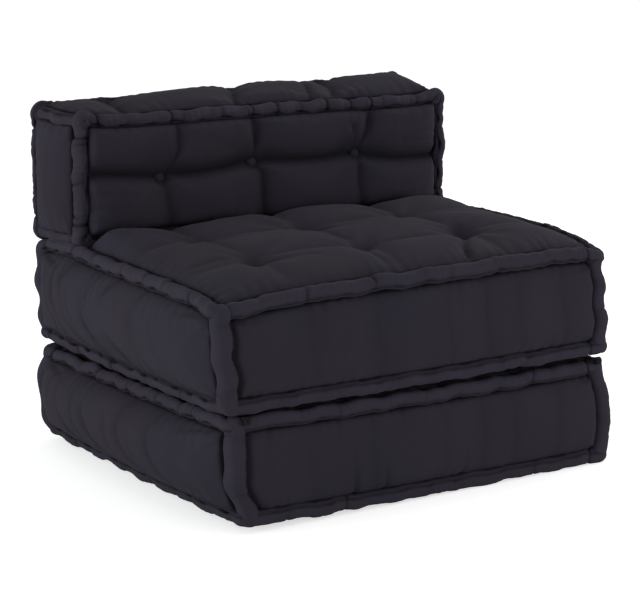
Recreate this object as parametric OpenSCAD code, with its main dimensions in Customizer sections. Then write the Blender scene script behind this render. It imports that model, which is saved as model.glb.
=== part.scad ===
// Modular floor sofa: two tufted mattress cushions in a stack and a back cushion tied on top.
// Each cushion is cotton wadding in a sewn cover with stuffed rolls along all its edges.
// The front faces -Y. The origin is at the middle of the footprint, on the floor.

/* [Overall] */
// Width over the rolled edges, left to right
sofa_w = 750; // [620:10:1000]
// Depth over the rolled edges, front to rear
sofa_d = 650; // [600:10:900]

/* [Cushions] */
// Thickness of the base cushion over its rolled edges
base_t = 180; // [140:1:240]
// Thickness of the seat cushion over its rolled edges
seat_t = 180; // [140:1:240]
// Height of the back cushion over its rolled edges
back_h = 235; // [190:5:360]
// Thickness of the back cushion, front to rear
back_t = 160; // [120:5:220]

/* [Rolled edges] */
// Radius of the stuffed rolls
roll_r = 14; // [10:0.5:18]
// How far a roll's bend draws in at a corner, measured on its centre line
corner_extra = 1; // [1:0.5:6]

/* [Crowns] */
// Height of the seat's puffs above its rolled edge
seat_crown = 40; // [15:1:50]
// How far the puffs of the back stand beyond its rolled edges
back_crown = 9; // [2:1:16]
// How far the puffs on top of the back stand above its rolled edges
back_top_crown = 12; // [2:1:20]
// How far the left, right and rear borders of the mattresses bulge beyond the rolls
side_bulge = 12; // [1:0.5:14]
// How far the ends of the back bulge beyond the rolls
end_bulge = 5; // [1:0.5:8]
// How far the front borders bulge beyond the rolls
front_bulge = 1.5; // [0:0.5:1.5]

/* [Tufts] */
// Spacing of the tuft columns, left to right
tuft_pitch_x = 198; // [140:2:240]
// Spacing of the tuft rows, front to rear
tuft_pitch_y = 175; // [130:5:200]
// How far the middle column of tufts lies to the right of the cushions' middle
tuft_shift = -28; // [-40:1:40]
// How deep a tuft pulls into the seat's crown
seat_tuft_depth = 26; // [8:1:34]
// Radius of the dimple round a tuft
dimple_r = 52; // [30:2:80]
// Depth of the dent that a tuft leaves in a flat face
flat_dent = 6; // [5:0.5:8]
// Depth of the crease across the back at half height
back_crease = 14; // [4:1:16]
// Depth of the creases that run up from each button
back_column = 6; // [0:1:8]
// Extra depth at each button
button_dent = 10; // [2:1:12]

/* [Buttons and twine] */
// Radius of a covered button
button_r = 9.5; // [7:0.5:14]
// Height of a covered button
button_t = 7; // [4:0.5:9]
// Radius of the twine
twine_r = 1; // [0.8:0.1:1.5]
// Length of the stitch on top of a tuft
stitch_len = 10; // [6:1:16]

/* [Lashings] */
// Twine loops in each tie
tie_loops = 5; // [3:1:8]
// Outer radius of a twine loop
tie_r = 6.5; // [5:0.1:6.7]
// Distance of the front ties from the ends of the cushion
front_tie_in = 38; // [30:1:80]
// Distance of the back ties from the ends of the cushion
back_tie_in = 11; // [11:1:14]
// Distance of a fold line in front of the rolls that it joins
fold_out = 2; // [1.8:0.1:3]

/* [Cloth and fits] */
// Thickness of the cover cloth
cloth_t = 1.2; // [0.8:0.1:2]
// Clearance between neighbouring soft pieces
gap = 0.3; // [0.2:0.05:0.4]

/* [Hidden] */
$fn = 48;

cotton = "#35323a";
cotton_side = "#3c3a44";
roll_cotton = "#44414b";
wadding = "#cfc8b8";
twine = "#57545c";

// Rolls meet the panels at the seams. A seam lies this far inside a roll's centre line,
// and this far above it.
seam_in = 0.9 * (roll_r + 4 * gap);
seam_rise = 0.43 * (roll_r + 4 * gap);
// The crown starts at the shoulder, this far inside a roll's centre line.
shoulder_in = 2 * roll_r;
// The filling passes under each roll at this distance inside its centre line.
core_in = 0.82 * roll_r;
// The cloth and its clearance to the filling
skin = cloth_t + gap;

// Centre-line radius of a roll's bend, and where the upright corner rolls stand inside it
bend_r = roll_r + corner_extra;
corner_in = bend_r * (1 - cos(45));

// Half distances between the rolls' centre lines
half_x = sofa_w / 2 - roll_r;
half_y = sofa_d / 2 - roll_r;
half_base = base_t / 2 - roll_r;
half_seat = seat_t / 2 - roll_r;
half_back_h = back_h / 2 - roll_r;
half_back_t = back_t / 2 - roll_r;

// Levels of the stack
seat_z = base_t + gap;
seat_top_z = seat_z + seat_t;
back_z = seat_top_z + gap;

// The front ties reach past the front rolls, and the borders bulge past the rear ones. The
// cushions' middle lies this far behind the footprint's middle, or in front of it if negative.
y_shift = (fold_out + tie_r - max(side_bulge, back_crown)) / 2;

// Fold lines: the base cushion's and the back cushion's
base_fold = [-sofa_d / 2 - fold_out, base_t + gap / 2];
back_front_y = sofa_d / 2 - back_t;
back_fold = [back_front_y - fold_out, seat_top_z + gap / 2];

// Half the width of a button's flat seat, and the reach of the creases beside it
button_seat = button_r + 1;
column_r = 1.5 * button_r;
tuft_xs = [tuft_shift - tuft_pitch_x, tuft_shift, tuft_shift + tuft_pitch_x];
tuft_ys = [-tuft_pitch_y, 0, tuft_pitch_y];

// Stations across a face

// The list, and before it the same list with its signs and its order turned round.
function both_sides(list) =
    concat([for (i = [len(list) - 1 : -1 : 0]) -list[i]], list);

// A tufted side, from seam to seam, with a station on every tuft.
function tufted(half, tufts) =
    let (
        shoulder = half - shoulder_in,
        last = tufts[len(tufts) - 1]
    )
    concat(
        [seam_in - half, -shoulder, (tufts[0] - shoulder) / 2],
        [for (i = [0 : len(tufts) - 2], third = [0 : 2])
            tufts[i] + third / 3 * (tufts[i + 1] - tufts[i])],
        [last, (last + shoulder) / 2, shoulder, half - seam_in]
    );

// The back's width: a flat seat under each button, with a puff between two seats.
function buttoned(half, tufts) =
    let (
        shoulder = half - shoulder_in,
        last = tufts[len(tufts) - 1]
    )
    concat(
        [seam_in - half, -shoulder, (tufts[0] - button_seat - shoulder) / 2],
        [for (i = [0 : len(tufts) - 2])
            each [tufts[i] - button_seat, tufts[i] + button_seat, (tufts[i] + tufts[i + 1]) / 2]],
        [last - button_seat, last + button_seat, (last + button_seat + shoulder) / 2],
        [shoulder, half - seam_in]
    );

// The back's height: the crease across its middle, the puff and the shoulder.
function creased(half) =
    let (shoulder = half - shoulder_in)
    both_sides([button_seat, (button_seat + shoulder) / 2, shoulder, half - seam_in]);

// A plain border, from seam to seam.
function plain(half) =
    [seam_in - half, shoulder_in - half, half - shoulder_in, half - seam_in];

// The stations with one more at s, which takes the place of any within gap of it.
function with_station(list, s) =
    concat([for (v = list) if (v < s - gap) v], [s], [for (v = list) if (v > s + gap) v]);

// The stations with both ends drawn in to the upright corner rolls.
function drawn_in(list) =
    [for (i = [0 : len(list) - 1])
        i == 0 ? list[i] + corner_in : i == len(list) - 1 ? list[i] - corner_in : list[i]];

// Surfaces, as heights above the plane through the rolls' centre lines

// 1 over most of the side and 0 at distance half from its middle.
dome_power = 8;
function dome(u, half) = 1 - pow(min(1, abs(u) / half), dome_power);

// 1 on the line and 0 away from it.
function crease(d, width) = exp(-pow(d / width, 2));

// Distance outside a button's seat, along one direction.
function off_seat(d) = max(0, abs(d) - button_seat);

// The seat's crown ends at the foot of the back cushion.
crown_rear = back_front_y - 4 * fold_out;
crown_front = seam_in - half_y;
function seat_dome(u, v) =
    dome(u, half_x - seam_in)
    * dome(v - (crown_rear + crown_front) / 2, (crown_rear - crown_front) / 2);

seat_top = function(u, v)
    let (dents = [for (x = tuft_xs, y = tuft_ys)
        (seat_tuft_depth * seat_dome(x, y) + flat_dent) * crease(norm([u - x, v - y]), dimple_r)])
    roll_r + seat_crown * seat_dome(u, v) - max(dents) * shoulder_fade(u, v);

// Dents fade out at the shoulders, where the rolls hold the cloth.
function shoulder_fade(u, v) =
    abs(u) >= half_x - shoulder_in || abs(v) >= half_y - shoulder_in ? 0 : 1;

flat_face = function(u, v) roll_r;

back_face = function(u, v)
    let (
        across = dome(u, half_x - seam_in),
        full = across * dome(v, half_back_h - seam_in),
        columns = max([for (x = tuft_xs) crease(off_seat(u - x), column_r)]),
        dots = max([for (x = tuft_xs) crease(norm([off_seat(u - x), off_seat(v)]), column_r)])
    )
    roll_r + full * (back_crown - back_column * columns)
        - across * back_crease * crease(off_seat(v), column_r) - button_dent * dots;

back_top = function(u, v)
    let (columns = max([for (x = tuft_xs) crease(off_seat(u - x), column_r)]))
    roll_r + back_top_crown * dome(u, half_x - seam_in) * (1 - columns);

// The borders are full along each side and flatten towards its ends.
side_face = function(u, v) roll_r + side_bulge * dome(u, half_y);
rear_face = function(u, v) roll_r + side_bulge * dome(u, half_x);
front_face = function(u, v) roll_r + front_bulge * dome(u, half_x);
back_end = function(u, v) roll_r + end_bulge * dome(u, half_back_h);

// Generic sewn pieces

// Two triangles for each cell of a grid whose rows are `row` points long.
function grid_faces(nu, nv, start, flip) =
    [for (i = [0 : nu - 1], j = [0 : nv - 1], half_cell = [0, 1])
        let (
            a = start + i * (nv + 1) + j,
            b = a + nv + 1,
            t = half_cell == 0 ? [a, a + 1, b + 1] : [a, b + 1, b]
        )
        flip ? [t[2], t[1], t[0]] : t];

// The points of a grid's border, in order round it.
function grid_rim(nu, nv) =
    concat(
        [for (i = [0 : nu - 1]) i * (nv + 1)],
        [for (j = [0 : nv - 1]) nu * (nv + 1) + j],
        [for (i = [nu : -1 : 1]) i * (nv + 1) + nv],
        [for (j = [nv : -1 : 1]) j]
    );

// Cloth over a grid of stations: thickness cloth_t, its outer face at height(u, v), and its
// border held down at the seams.
module cloth_panel(us, vs, height) {
    nu = len(us) - 1;
    nv = len(vs) - 1;
    count = (nu + 1) * (nv + 1);
    rim = grid_rim(nu, nv);
    outer = [for (i = [0 : nu], j = [0 : nv])
        let (at_seam = i == 0 || i == nu || j == 0 || j == nv)
        [us[i], vs[j], at_seam ? seam_rise : height(us[i], vs[j])]];
    inner = [for (p = outer) p - [0, 0, cloth_t]];
    sides = [for (n = [0 : len(rim) - 1], half_cell = [0, 1])
        let (a = rim[n], b = rim[(n + 1) % len(rim)])
        half_cell == 0 ? [a, b, b + count] : [a, b + count, a + count]];
    polyhedron(
        concat(outer, inner),
        concat(grid_faces(nu, nv, 0, false), grid_faces(nu, nv, count, true), sides),
        convexity = 6
    );
}

// A flat cover panel with its corners rounded inside the bends of the roll.
module flat_panel(hx, hy) {
    linear_extrude(height = cloth_t)
        union() {
            square([2 * (hx - seam_in) - 2 * roll_r, 2 * (hy - seam_in)], center = true);
            square([2 * (hx - seam_in), 2 * (hy - seam_in) - 2 * roll_r], center = true);
            for (sx = [-1, 1], sy = [-1, 1])
                translate([sx * (hx - seam_in - roll_r), sy * (hy - seam_in - roll_r)])
                    circle(r = roll_r);
        }
}

// Wadding that follows the inside of six cloth faces and passes under the rolls on its edges.
// faces holds the six heights: top, bottom, front, rear, left, right.
module wadding_block(xs, ys, zs, half, faces) {
    n = [len(xs) - 1, len(ys) - 1, len(zs) - 1];
    stations = [xs, ys, zs];
    function end(i, axis) = i == 0 ? -1 : i == n[axis] ? 1 : 0;
    function face_height(p, axis, side) =
        axis == 0 ? faces[side < 0 ? 4 : 5](p[1], p[2])
        : axis == 1 ? faces[side < 0 ? 2 : 3](p[0], p[2])
        : faces[side < 0 ? 1 : 0](p[0], p[1]);
    function point(index) =
        let (
            ends = [for (a = [0 : 2]) end(index[a], a)],
            count = abs(ends[0]) + abs(ends[1]) + abs(ends[2]),
            upright = ends[0] != 0 && ends[1] != 0 ? corner_in : 0,
            flat = [for (a = [0 : 2]) stations[a][index[a]]]
        )
        [for (a = [0 : 2])
            ends[a] == 0 ? flat[a]
            : count == 1 ? ends[a] * (half[a] + face_height(flat, a, ends[a]) - skin)
            : ends[a] * (half[a] - core_in - (a < 2 ? upright : 0))];
    function side_points(axis, last) =
        let (u = (axis + 1) % 3, v = (axis + 2) % 3)
        [for (i = [0 : n[u]], j = [0 : n[v]])
            point([for (a = [0 : 2]) a == axis ? (last ? n[axis] : 0) : a == u ? i : j])];
    grids = [for (axis = [0 : 2], last = [0, 1]) side_points(axis, last == 1)];
    starts = [for (g = 0, total = 0; g < 6; total = total + len(grids[g]), g = g + 1) total];
    polyhedron(
        [for (grid = grids, p = grid) p],
        [for (axis = [0 : 2], last = [0, 1])
            each grid_faces(n[(axis + 1) % 3], n[(axis + 2) % 3], starts[2 * axis + last], last == 0)],
        convexity = 6
    );
}

// One closed roll round a face, in the plane z = 0.
module roll_frame(hx, hy) {
    for (sy = [-1, 1])
        translate([0, sy * hy, 0])
            rotate([0, 90, 0])
                cylinder(r = roll_r, h = 2 * (hx - bend_r), center = true);
    for (sx = [-1, 1])
        translate([sx * hx, 0, 0])
            rotate([90, 0, 0])
                cylinder(r = roll_r, h = 2 * (hy - bend_r), center = true);
    for (sx = [-1, 1], sy = [-1, 1])
        translate([sx * (hx - bend_r), sy * (hy - bend_r), 0])
            rotate([0, 0, sx > 0 ? (sy > 0 ? 0 : 270) : (sy > 0 ? 90 : 180)])
                rotate_extrude(angle = 90)
                    translate([bend_r, 0])
                        circle(r = roll_r);
}

// The four rolls between the two frames of a cushion.
module corner_rolls(half) {
    for (sx = [-1, 1], sy = [-1, 1])
        translate([sx * (half[0] - corner_in), sy * (half[1] - corner_in), 0])
            cylinder(r = roll_r, h = 2 * (half[2] - roll_r - gap), center = true);
}

// A twine strand with a stitch across its top.
module tuft_tie(bottom, top) {
    translate([0, 0, bottom])
        cylinder(r = twine_r, h = top - bottom);
    translate([0, 0, top])
        rotate([0, 90, 0])
            cylinder(r = twine_r, h = stitch_len, center = true);
}

// Twine loops side by side round a fold line that runs along X.
module twine_tie() {
    pitch = 2 * twine_r + gap;
    for (n = [0 : tie_loops - 1])
        translate([(n - (tie_loops - 1) / 2) * pitch, 0, 0])
            rotate([0, 90, 0])
                rotate_extrude()
                    translate([tie_r - twine_r, 0])
                        circle(r = twine_r, $fn = 24);
}

// Where each cushion stands. A cushion is built round its own middle, with its thickness along Z.
module at_base() {
    translate([0, y_shift, base_t / 2])
        children();
}
module at_seat() {
    translate([0, y_shift, seat_z + seat_t / 2])
        children();
}
// The back cushion's thickness lies along Y: its own +Z turns to the front.
module at_back() {
    translate([0, y_shift + sofa_d / 2 - back_t / 2, back_z + back_h / 2])
        rotate([90, 0, 0])
            children();
}
// The faces of a cushion, for pieces built with their outer side along +Z
module on_front(half) {
    rotate([90, 0, 0])
        translate([0, 0, half[1]])
            children();
}
module on_rear(half) {
    mirror([0, 1, 0])
        on_front(half)
            children();
}
module on_left(half) {
    rotate([90, 0, -90])
        translate([0, 0, half[0]])
            children();
}
module on_right(half) {
    mirror([1, 0, 0])
        on_left(half)
            children();
}

base_half = [half_x, half_y, half_base];
seat_half = [half_x, half_y, half_seat];
back_half = [half_x, half_back_h, half_back_t];
xs = tufted(half_x, tuft_xs);
ys = tufted(half_y, tuft_ys);
seat_ys = with_station(ys, crown_rear);
base_zs = plain(half_base);
seat_zs = plain(half_seat);
back_xs = buttoned(half_x, tuft_xs);
back_ys = creased(half_back_h);
back_zs = plain(half_back_t);

// Base cushion

module base_filling() {
    color(wadding)
        at_base()
            wadding_block(xs, ys, base_zs, base_half,
                [flat_face, flat_face, front_face, rear_face, side_face, side_face]);
}
module base_top_panel() {
    color(cotton)
        at_base()
            translate([0, 0, half_base + roll_r - cloth_t])
                flat_panel(half_x, half_y);
}
module base_bottom_panel() {
    color(cotton)
        at_base()
            translate([0, 0, -half_base - roll_r])
                flat_panel(half_x, half_y);
}
module base_front_border() {
    color(cotton_side)
        at_base()
            on_front(base_half)
                cloth_panel(drawn_in(xs), base_zs, front_face);
}
module base_rear_border() {
    color(cotton_side)
        at_base()
            on_rear(base_half)
                cloth_panel(drawn_in(xs), base_zs, rear_face);
}
module base_left_border() {
    color(cotton_side)
        at_base()
            on_left(base_half)
                cloth_panel(drawn_in(ys), base_zs, side_face);
}
module base_right_border() {
    color(cotton_side)
        at_base()
            on_right(base_half)
                cloth_panel(drawn_in(ys), base_zs, side_face);
}
module base_top_roll() {
    color(roll_cotton)
        at_base()
            translate([0, 0, half_base])
                roll_frame(half_x, half_y);
}
module base_bottom_roll() {
    color(roll_cotton)
        at_base()
            translate([0, 0, -half_base])
                roll_frame(half_x, half_y);
}
module base_corner_rolls() {
    color(roll_cotton)
        at_base()
            corner_rolls(base_half);
}
// The ties end inside the two flat panels, so nothing stands out where cushions rest.
module base_tuft_ties() {
    color(twine)
        at_base()
            for (x = tuft_xs, y = tuft_ys)
                translate([x, y, 0])
                    cylinder(r = twine_r, h = base_t - 2 * skin, center = true);
}

// Seat cushion

module seat_filling() {
    color(wadding)
        at_seat()
            wadding_block(xs, seat_ys, seat_zs, seat_half,
                [seat_top, flat_face, front_face, rear_face, side_face, side_face]);
}
module seat_top_panel() {
    color(cotton)
        at_seat()
            translate([0, 0, half_seat])
                cloth_panel(xs, seat_ys, seat_top);
}
module seat_bottom_panel() {
    color(cotton)
        at_seat()
            translate([0, 0, -half_seat - roll_r])
                flat_panel(half_x, half_y);
}
module seat_front_border() {
    color(cotton_side)
        at_seat()
            on_front(seat_half)
                cloth_panel(drawn_in(xs), seat_zs, front_face);
}
module seat_rear_border() {
    color(cotton_side)
        at_seat()
            on_rear(seat_half)
                cloth_panel(drawn_in(xs), seat_zs, rear_face);
}
module seat_left_border() {
    color(cotton_side)
        at_seat()
            on_left(seat_half)
                cloth_panel(drawn_in(ys), seat_zs, side_face);
}
module seat_right_border() {
    color(cotton_side)
        at_seat()
            on_right(seat_half)
                cloth_panel(drawn_in(ys), seat_zs, side_face);
}
// The ties of the back cushion bite into the left and right stretches of this roll.
module seat_top_roll() {
    bite_r = tie_r + gap;
    color(roll_cotton)
        at_seat()
            difference() {
                translate([0, 0, half_seat])
                    roll_frame(half_x, half_y);
                for (sx = [-1, 1])
                    translate([sx * half_x, back_fold[0], seat_t / 2 + gap / 2])
                        rotate([0, 90, 0])
                            cylinder(r = bite_r, h = 4 * roll_r, center = true);
            }
}
module seat_bottom_roll() {
    color(roll_cotton)
        at_seat()
            translate([0, 0, -half_seat])
                roll_frame(half_x, half_y);
}
module seat_corner_rolls() {
    color(roll_cotton)
        at_seat()
            corner_rolls(seat_half);
}
module seat_tuft_ties() {
    color(twine)
        at_seat()
            for (x = tuft_xs, y = tuft_ys)
                translate([x, y, 0])
                    tuft_tie(skin - seat_t / 2, half_seat + seat_top(x, y) + twine_r + gap);
}

// Back cushion

module back_filling() {
    color(wadding)
        at_back()
            wadding_block(back_xs, back_ys, back_zs, back_half,
                [back_face, back_face, flat_face, back_top, back_end, back_end]);
}
module back_front_panel() {
    color(cotton)
        at_back()
            translate([0, 0, half_back_t])
                cloth_panel(back_xs, back_ys, back_face);
}
module back_rear_panel() {
    color(cotton)
        at_back()
            mirror([0, 0, 1])
                translate([0, 0, half_back_t])
                    cloth_panel(back_xs, back_ys, back_face);
}
module back_top_border() {
    color(cotton_side)
        at_back()
            on_rear(back_half)
                cloth_panel(drawn_in(back_xs), back_zs, back_top);
}
module back_bottom_border() {
    color(cotton_side)
        at_back()
            on_front(back_half)
                cloth_panel(drawn_in(back_xs), back_zs, flat_face);
}
module back_left_border() {
    color(cotton_side)
        at_back()
            on_left(back_half)
                cloth_panel(drawn_in(back_ys), back_zs, back_end);
}
module back_right_border() {
    color(cotton_side)
        at_back()
            on_right(back_half)
                cloth_panel(drawn_in(back_ys), back_zs, back_end);
}
module back_front_roll() {
    color(roll_cotton)
        at_back()
            translate([0, 0, half_back_t])
                roll_frame(half_x, half_back_h);
}
module back_rear_roll() {
    color(roll_cotton)
        at_back()
            translate([0, 0, -half_back_t])
                roll_frame(half_x, half_back_h);
}
module back_corner_rolls() {
    color(roll_cotton)
        at_back()
            corner_rolls(back_half);
}
// Each tie runs from a stitch on the rear panel to a button on the front panel.
module back_tuft_ties() {
    rest = half_back_t + back_face(tuft_xs[0], 0);
    color(twine)
        at_back()
            for (x = tuft_xs)
                translate([x, 0, 0])
                    mirror([0, 0, 1])
                        tuft_tie(-rest, rest + twine_r + gap);
}
// A covered button: a domed disc that stands on the front panel.
module back_buttons() {
    rest = half_back_t + back_face(tuft_xs[0], 0) + gap;
    rim_t = button_t / 3;
    cap_t = button_t - rim_t;
    cap_r = (button_r * button_r + cap_t * cap_t) / (2 * cap_t);
    color(cotton)
        at_back()
            for (x = tuft_xs)
                translate([x, 0, rest]) {
                    cylinder(r = button_r, h = rim_t);
                    intersection() {
                        translate([0, 0, button_t - cap_r])
                            sphere(r = cap_r);
                        translate([0, 0, rim_t])
                            cylinder(r = button_r, h = cap_t);
                    }
                }
}

// Lashings

module front_lashing() {
    color(twine)
        for (sx = [-1, 1])
            translate([sx * (sofa_w / 2 - front_tie_in), y_shift + base_fold[0], base_fold[1]])
                twine_tie();
}
module back_lashing() {
    color(twine)
        for (sx = [-1, 1])
            translate([sx * (sofa_w / 2 - back_tie_in), y_shift + back_fold[0], back_fold[1]])
                twine_tie();
}

base_filling();
base_top_panel();
base_bottom_panel();
base_front_border();
base_rear_border();
base_left_border();
base_right_border();
base_top_roll();
base_bottom_roll();
base_corner_rolls();
base_tuft_ties();
seat_filling();
seat_top_panel();
seat_bottom_panel();
seat_front_border();
seat_rear_border();
seat_left_border();
seat_right_border();
seat_top_roll();
seat_bottom_roll();
seat_corner_rolls();
seat_tuft_ties();
back_filling();
back_front_panel();
back_rear_panel();
back_top_border();
back_bottom_border();
back_left_border();
back_right_border();
back_front_roll();
back_rear_roll();
back_corner_rolls();
back_tuft_ties();
back_buttons();
front_lashing();
back_lashing();
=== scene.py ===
# %% [markdown]
# # A modular floor sofa of tufted mattress cushions
#
# The sofa is three hand-sewn cushions: a base, a seat on top of it and a back on top of the seat.
# Each is cotton wadding in a dark cotton cover, drawn together by tufts, with a stuffed roll sewn
# along every edge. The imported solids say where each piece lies. This script gives the pieces their
# cloth: it works out surfaces with numpy, blows the covers up with a cloth solver, and then
# paints and lights them.

# %% Load the frame
import math

import bpy
import numpy as np
from mathutils import Matrix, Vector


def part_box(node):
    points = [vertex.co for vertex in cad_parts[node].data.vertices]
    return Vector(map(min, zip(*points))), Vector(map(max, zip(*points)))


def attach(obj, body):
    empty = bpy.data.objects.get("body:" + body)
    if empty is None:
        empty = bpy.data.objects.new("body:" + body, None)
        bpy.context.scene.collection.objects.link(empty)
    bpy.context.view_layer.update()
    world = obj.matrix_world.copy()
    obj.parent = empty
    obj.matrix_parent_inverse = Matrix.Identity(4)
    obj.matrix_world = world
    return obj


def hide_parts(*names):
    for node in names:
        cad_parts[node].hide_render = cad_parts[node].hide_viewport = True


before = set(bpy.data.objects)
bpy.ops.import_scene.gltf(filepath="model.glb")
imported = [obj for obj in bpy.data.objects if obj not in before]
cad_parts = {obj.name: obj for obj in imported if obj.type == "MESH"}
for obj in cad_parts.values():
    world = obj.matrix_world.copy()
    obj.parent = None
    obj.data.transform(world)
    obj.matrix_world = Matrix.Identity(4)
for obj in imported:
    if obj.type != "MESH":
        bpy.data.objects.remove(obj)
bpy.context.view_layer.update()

MM = 0.001    # sizes are in metres, and the small ones are written as so many millimetres

# %% [markdown]
# ## The camera
#
# The camera comes first, so that every later step can be looked at from the same place. Its place
# and turn are real sizes: how far it stands from the sofa's middle, how far round and how high.
# A long lens keeps the sofa's edges nearly parallel. A constraint could aim it at the sofa, but
# its three angles are known, so they go straight into its matrix.

# %% Camera
CAMERA_YAW = 0.5601      # radians, turned to the sofa's left front
CAMERA_PITCH = 0.2133    # radians, looking down
CAMERA_ROLL = -0.0067
CAMERA_AT = (-1.7778, -2.8362, 0.9898)
LENS_MM = 113.3
CLIP_END = 50            # metres, past the end of the floor


def camera_axes(yaw, pitch, roll):
    """Right, up and back of a camera: it looks along (sin yaw cos pitch, cos yaw cos pitch,
    -sin pitch), and then turns by roll about that line."""
    ahead = np.array([math.sin(yaw) * math.cos(pitch), math.cos(yaw) * math.cos(pitch),
                      -math.sin(pitch)])
    level = np.array([math.cos(yaw), -math.sin(yaw), 0.0])
    above = np.cross(level, ahead)
    right = math.cos(roll) * level + math.sin(roll) * above
    up = math.cos(roll) * above - math.sin(roll) * level
    return right, up, -ahead


camera_data = bpy.data.cameras.new("camera")
camera_data.lens = LENS_MM
camera_data.clip_end = CLIP_END
camera = bpy.data.objects.new("camera", camera_data)
bpy.context.scene.collection.objects.link(camera)
turn = np.eye(4)
turn[:3, :3] = np.column_stack(camera_axes(CAMERA_YAW, CAMERA_PITCH, CAMERA_ROLL))
turn[:3, 3] = CAMERA_AT
camera.matrix_world = Matrix(turn.tolist())
bpy.context.scene.camera = camera
print("camera at", CAMERA_AT, "with a lens of", LENS_MM, "mm")

# %% [markdown]
# ## Each cushion's own frame
#
# The three cushions are made alike, so each gets its own axes: x to the right, y along the
# cover, and z out through the tufted face. The back stands on edge, so its z points to the front
# of the sofa. Where the rolls lie, and how thick they are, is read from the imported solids. The
# sizes could be typed in again, but then a changed solid would leave its cloth behind.

# %% Cushion frames
def span(node):
    """Centre and half size of a node's box."""
    low, high = (np.array(corner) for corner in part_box(node))
    return (low + high) / 2, (high - low) / 2


SLIM_ROLLS = {"base": 0.0118, "seat": 0.0118, "back": 0.0125}   # roll radius once sewn tight


class Cushion:
    """A cushion's middle, its axes as rows, and the half distances between its rolls."""

    def __init__(self, body, axes, face_roll, rear_roll):
        self.body = body
        self.axes = np.array(axes, float)
        (face, face_size), (rear, _) = span(face_roll), span(rear_roll)
        self.middle = (face + rear) / 2
        size = np.abs(self.axes @ face_size)
        self.roll = size[2]
        apart = self.axes @ (face - rear)
        self.half = np.array([size[0] - self.roll, size[1] - self.roll, apart[2] / 2])
        self.slim = SLIM_ROLLS[body]

    def world(self, own):
        """Points in the sofa's frame, from points in the cushion's own."""
        return self.middle + own @ self.axes


LYING = [(1, 0, 0), (0, 1, 0), (0, 0, 1)]
STANDING = [(1, 0, 0), (0, 0, 1), (0, -1, 0)]
base = Cushion("base", LYING, "base_top_roll", "base_bottom_roll")
seat = Cushion("seat", LYING, "seat_top_roll", "seat_bottom_roll")
back = Cushion("back", STANDING, "back_front_roll", "back_rear_roll")
for cushion in (base, seat, back):
    print(cushion.body, "half sizes in mm", (cushion.half / MM).round(1),
          "roll", round(cushion.roll / MM, 1))

# %% [markdown]
# The tufts are where the twine goes through. Their columns are the same in the seat and the
# back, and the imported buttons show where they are.

# %% Tuft places
button_middle, button_half = span("back_buttons")
button_r = button_half[2]
columns = button_middle[0] + (button_half[0] - button_r) * np.array([-1, 0, 1])
tie_middle, tie_half = span("seat_tuft_ties")
rows = tie_middle[1] - seat.middle[1] + tie_half[1] * np.array([-1, 0, 1])
back_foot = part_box("back_front_roll")[0].y - seat.middle[1]
print("tuft columns", columns.round(3), "rows", rows.round(3),
      "foot of the back", round(back_foot, 3))

# %% [markdown]
# ## From arrays to meshes
#
# Every new piece is a grid of points worked out as whole arrays. Faces could be added one by one
# with bmesh, but an array is faster, and its formula can be read. Two helpers turn grids into
# meshes: one joins the rows of a grid with quads, and one makes the skin of a block, which a
# cushion's cover needs because its six faces share their edges.

# %% Mesh helpers
def make_piece(name, points, quads):
    """A smooth mesh object from an array of points and an array of corner numbers."""
    mesh = bpy.data.meshes.new(name)
    mesh.from_pydata(np.asarray(points, float).tolist(), [], np.asarray(quads, int).tolist())
    mesh.polygons.foreach_set("use_smooth", np.ones(len(mesh.polygons), bool))
    mesh.update()
    piece = bpy.data.objects.new(name, mesh)
    bpy.context.scene.collection.objects.link(piece)
    return piece


def set_painted_light(piece, painted_light):
    """Keeps a number for each point, the painted light that scales its colour: 0 is full painted
    shade, as in a crease, and 1 is the cloth's own tone where it stands free."""
    piece.data.attributes.new("painted_light", "FLOAT", "POINT").data.foreach_set("value", painted_light.ravel())


def grid_quads(count, around, wrap, start=0):
    """Quads of a grid of count rings with around points each. A ring closes on itself, and the
    last one joins the first if wrap is set."""
    i, j = np.meshgrid(np.arange(count if wrap else count - 1), np.arange(around), indexing="ij")
    i2, j2 = (i + 1) % count, (j + 1) % around
    corners = [i * around + j, i2 * around + j, i2 * around + j2, i * around + j2]
    return start + np.stack(corners, -1).reshape(-1, 4)


def block_skin(cells):
    """The skin of a block of cells: whole-number lattice points, and quads that face outwards.
    Each of the six sides is a grid, and points that two sides share are merged."""
    sides = []
    for axis in range(3):
        u, v = (axis + 1) % 3, (axis + 2) % 3
        i, j = np.meshgrid(np.arange(cells[u]), np.arange(cells[v]), indexing="ij")
        for end in (0, cells[axis]):
            around = [(0, 0), (1, 0), (1, 1), (0, 1)]
            corners = np.zeros(i.shape + (4, 3), int)
            for k, (du, dv) in enumerate(around if end else around[::-1]):
                corners[..., k, axis] = end
                corners[..., k, u] = i + du
                corners[..., k, v] = j + dv
            sides.append(corners.reshape(-1, 4, 3))
    quads = np.concatenate(sides)
    points, numbers = np.unique(quads.reshape(-1, 3), axis=0, return_inverse=True)
    return points, numbers.reshape(-1, 4)


# %% [markdown]
# ## Nothing sewn by hand is straight
#
# Edges wander, stitches are unevenly spaced and every puff is a little different. One function
# gives such a wander along a loop or across a face: a few sine waves with seeded heights and
# phases, so that each run draws the same ones. A noise texture could do it too, but whole waves
# meet their own start when they have gone once round a loop.

# %% Wander
WAVES = 9    # how many are added up
WAVE_HEIGHTS = (0.5, 1)    # the least and the most that one of them has


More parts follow.
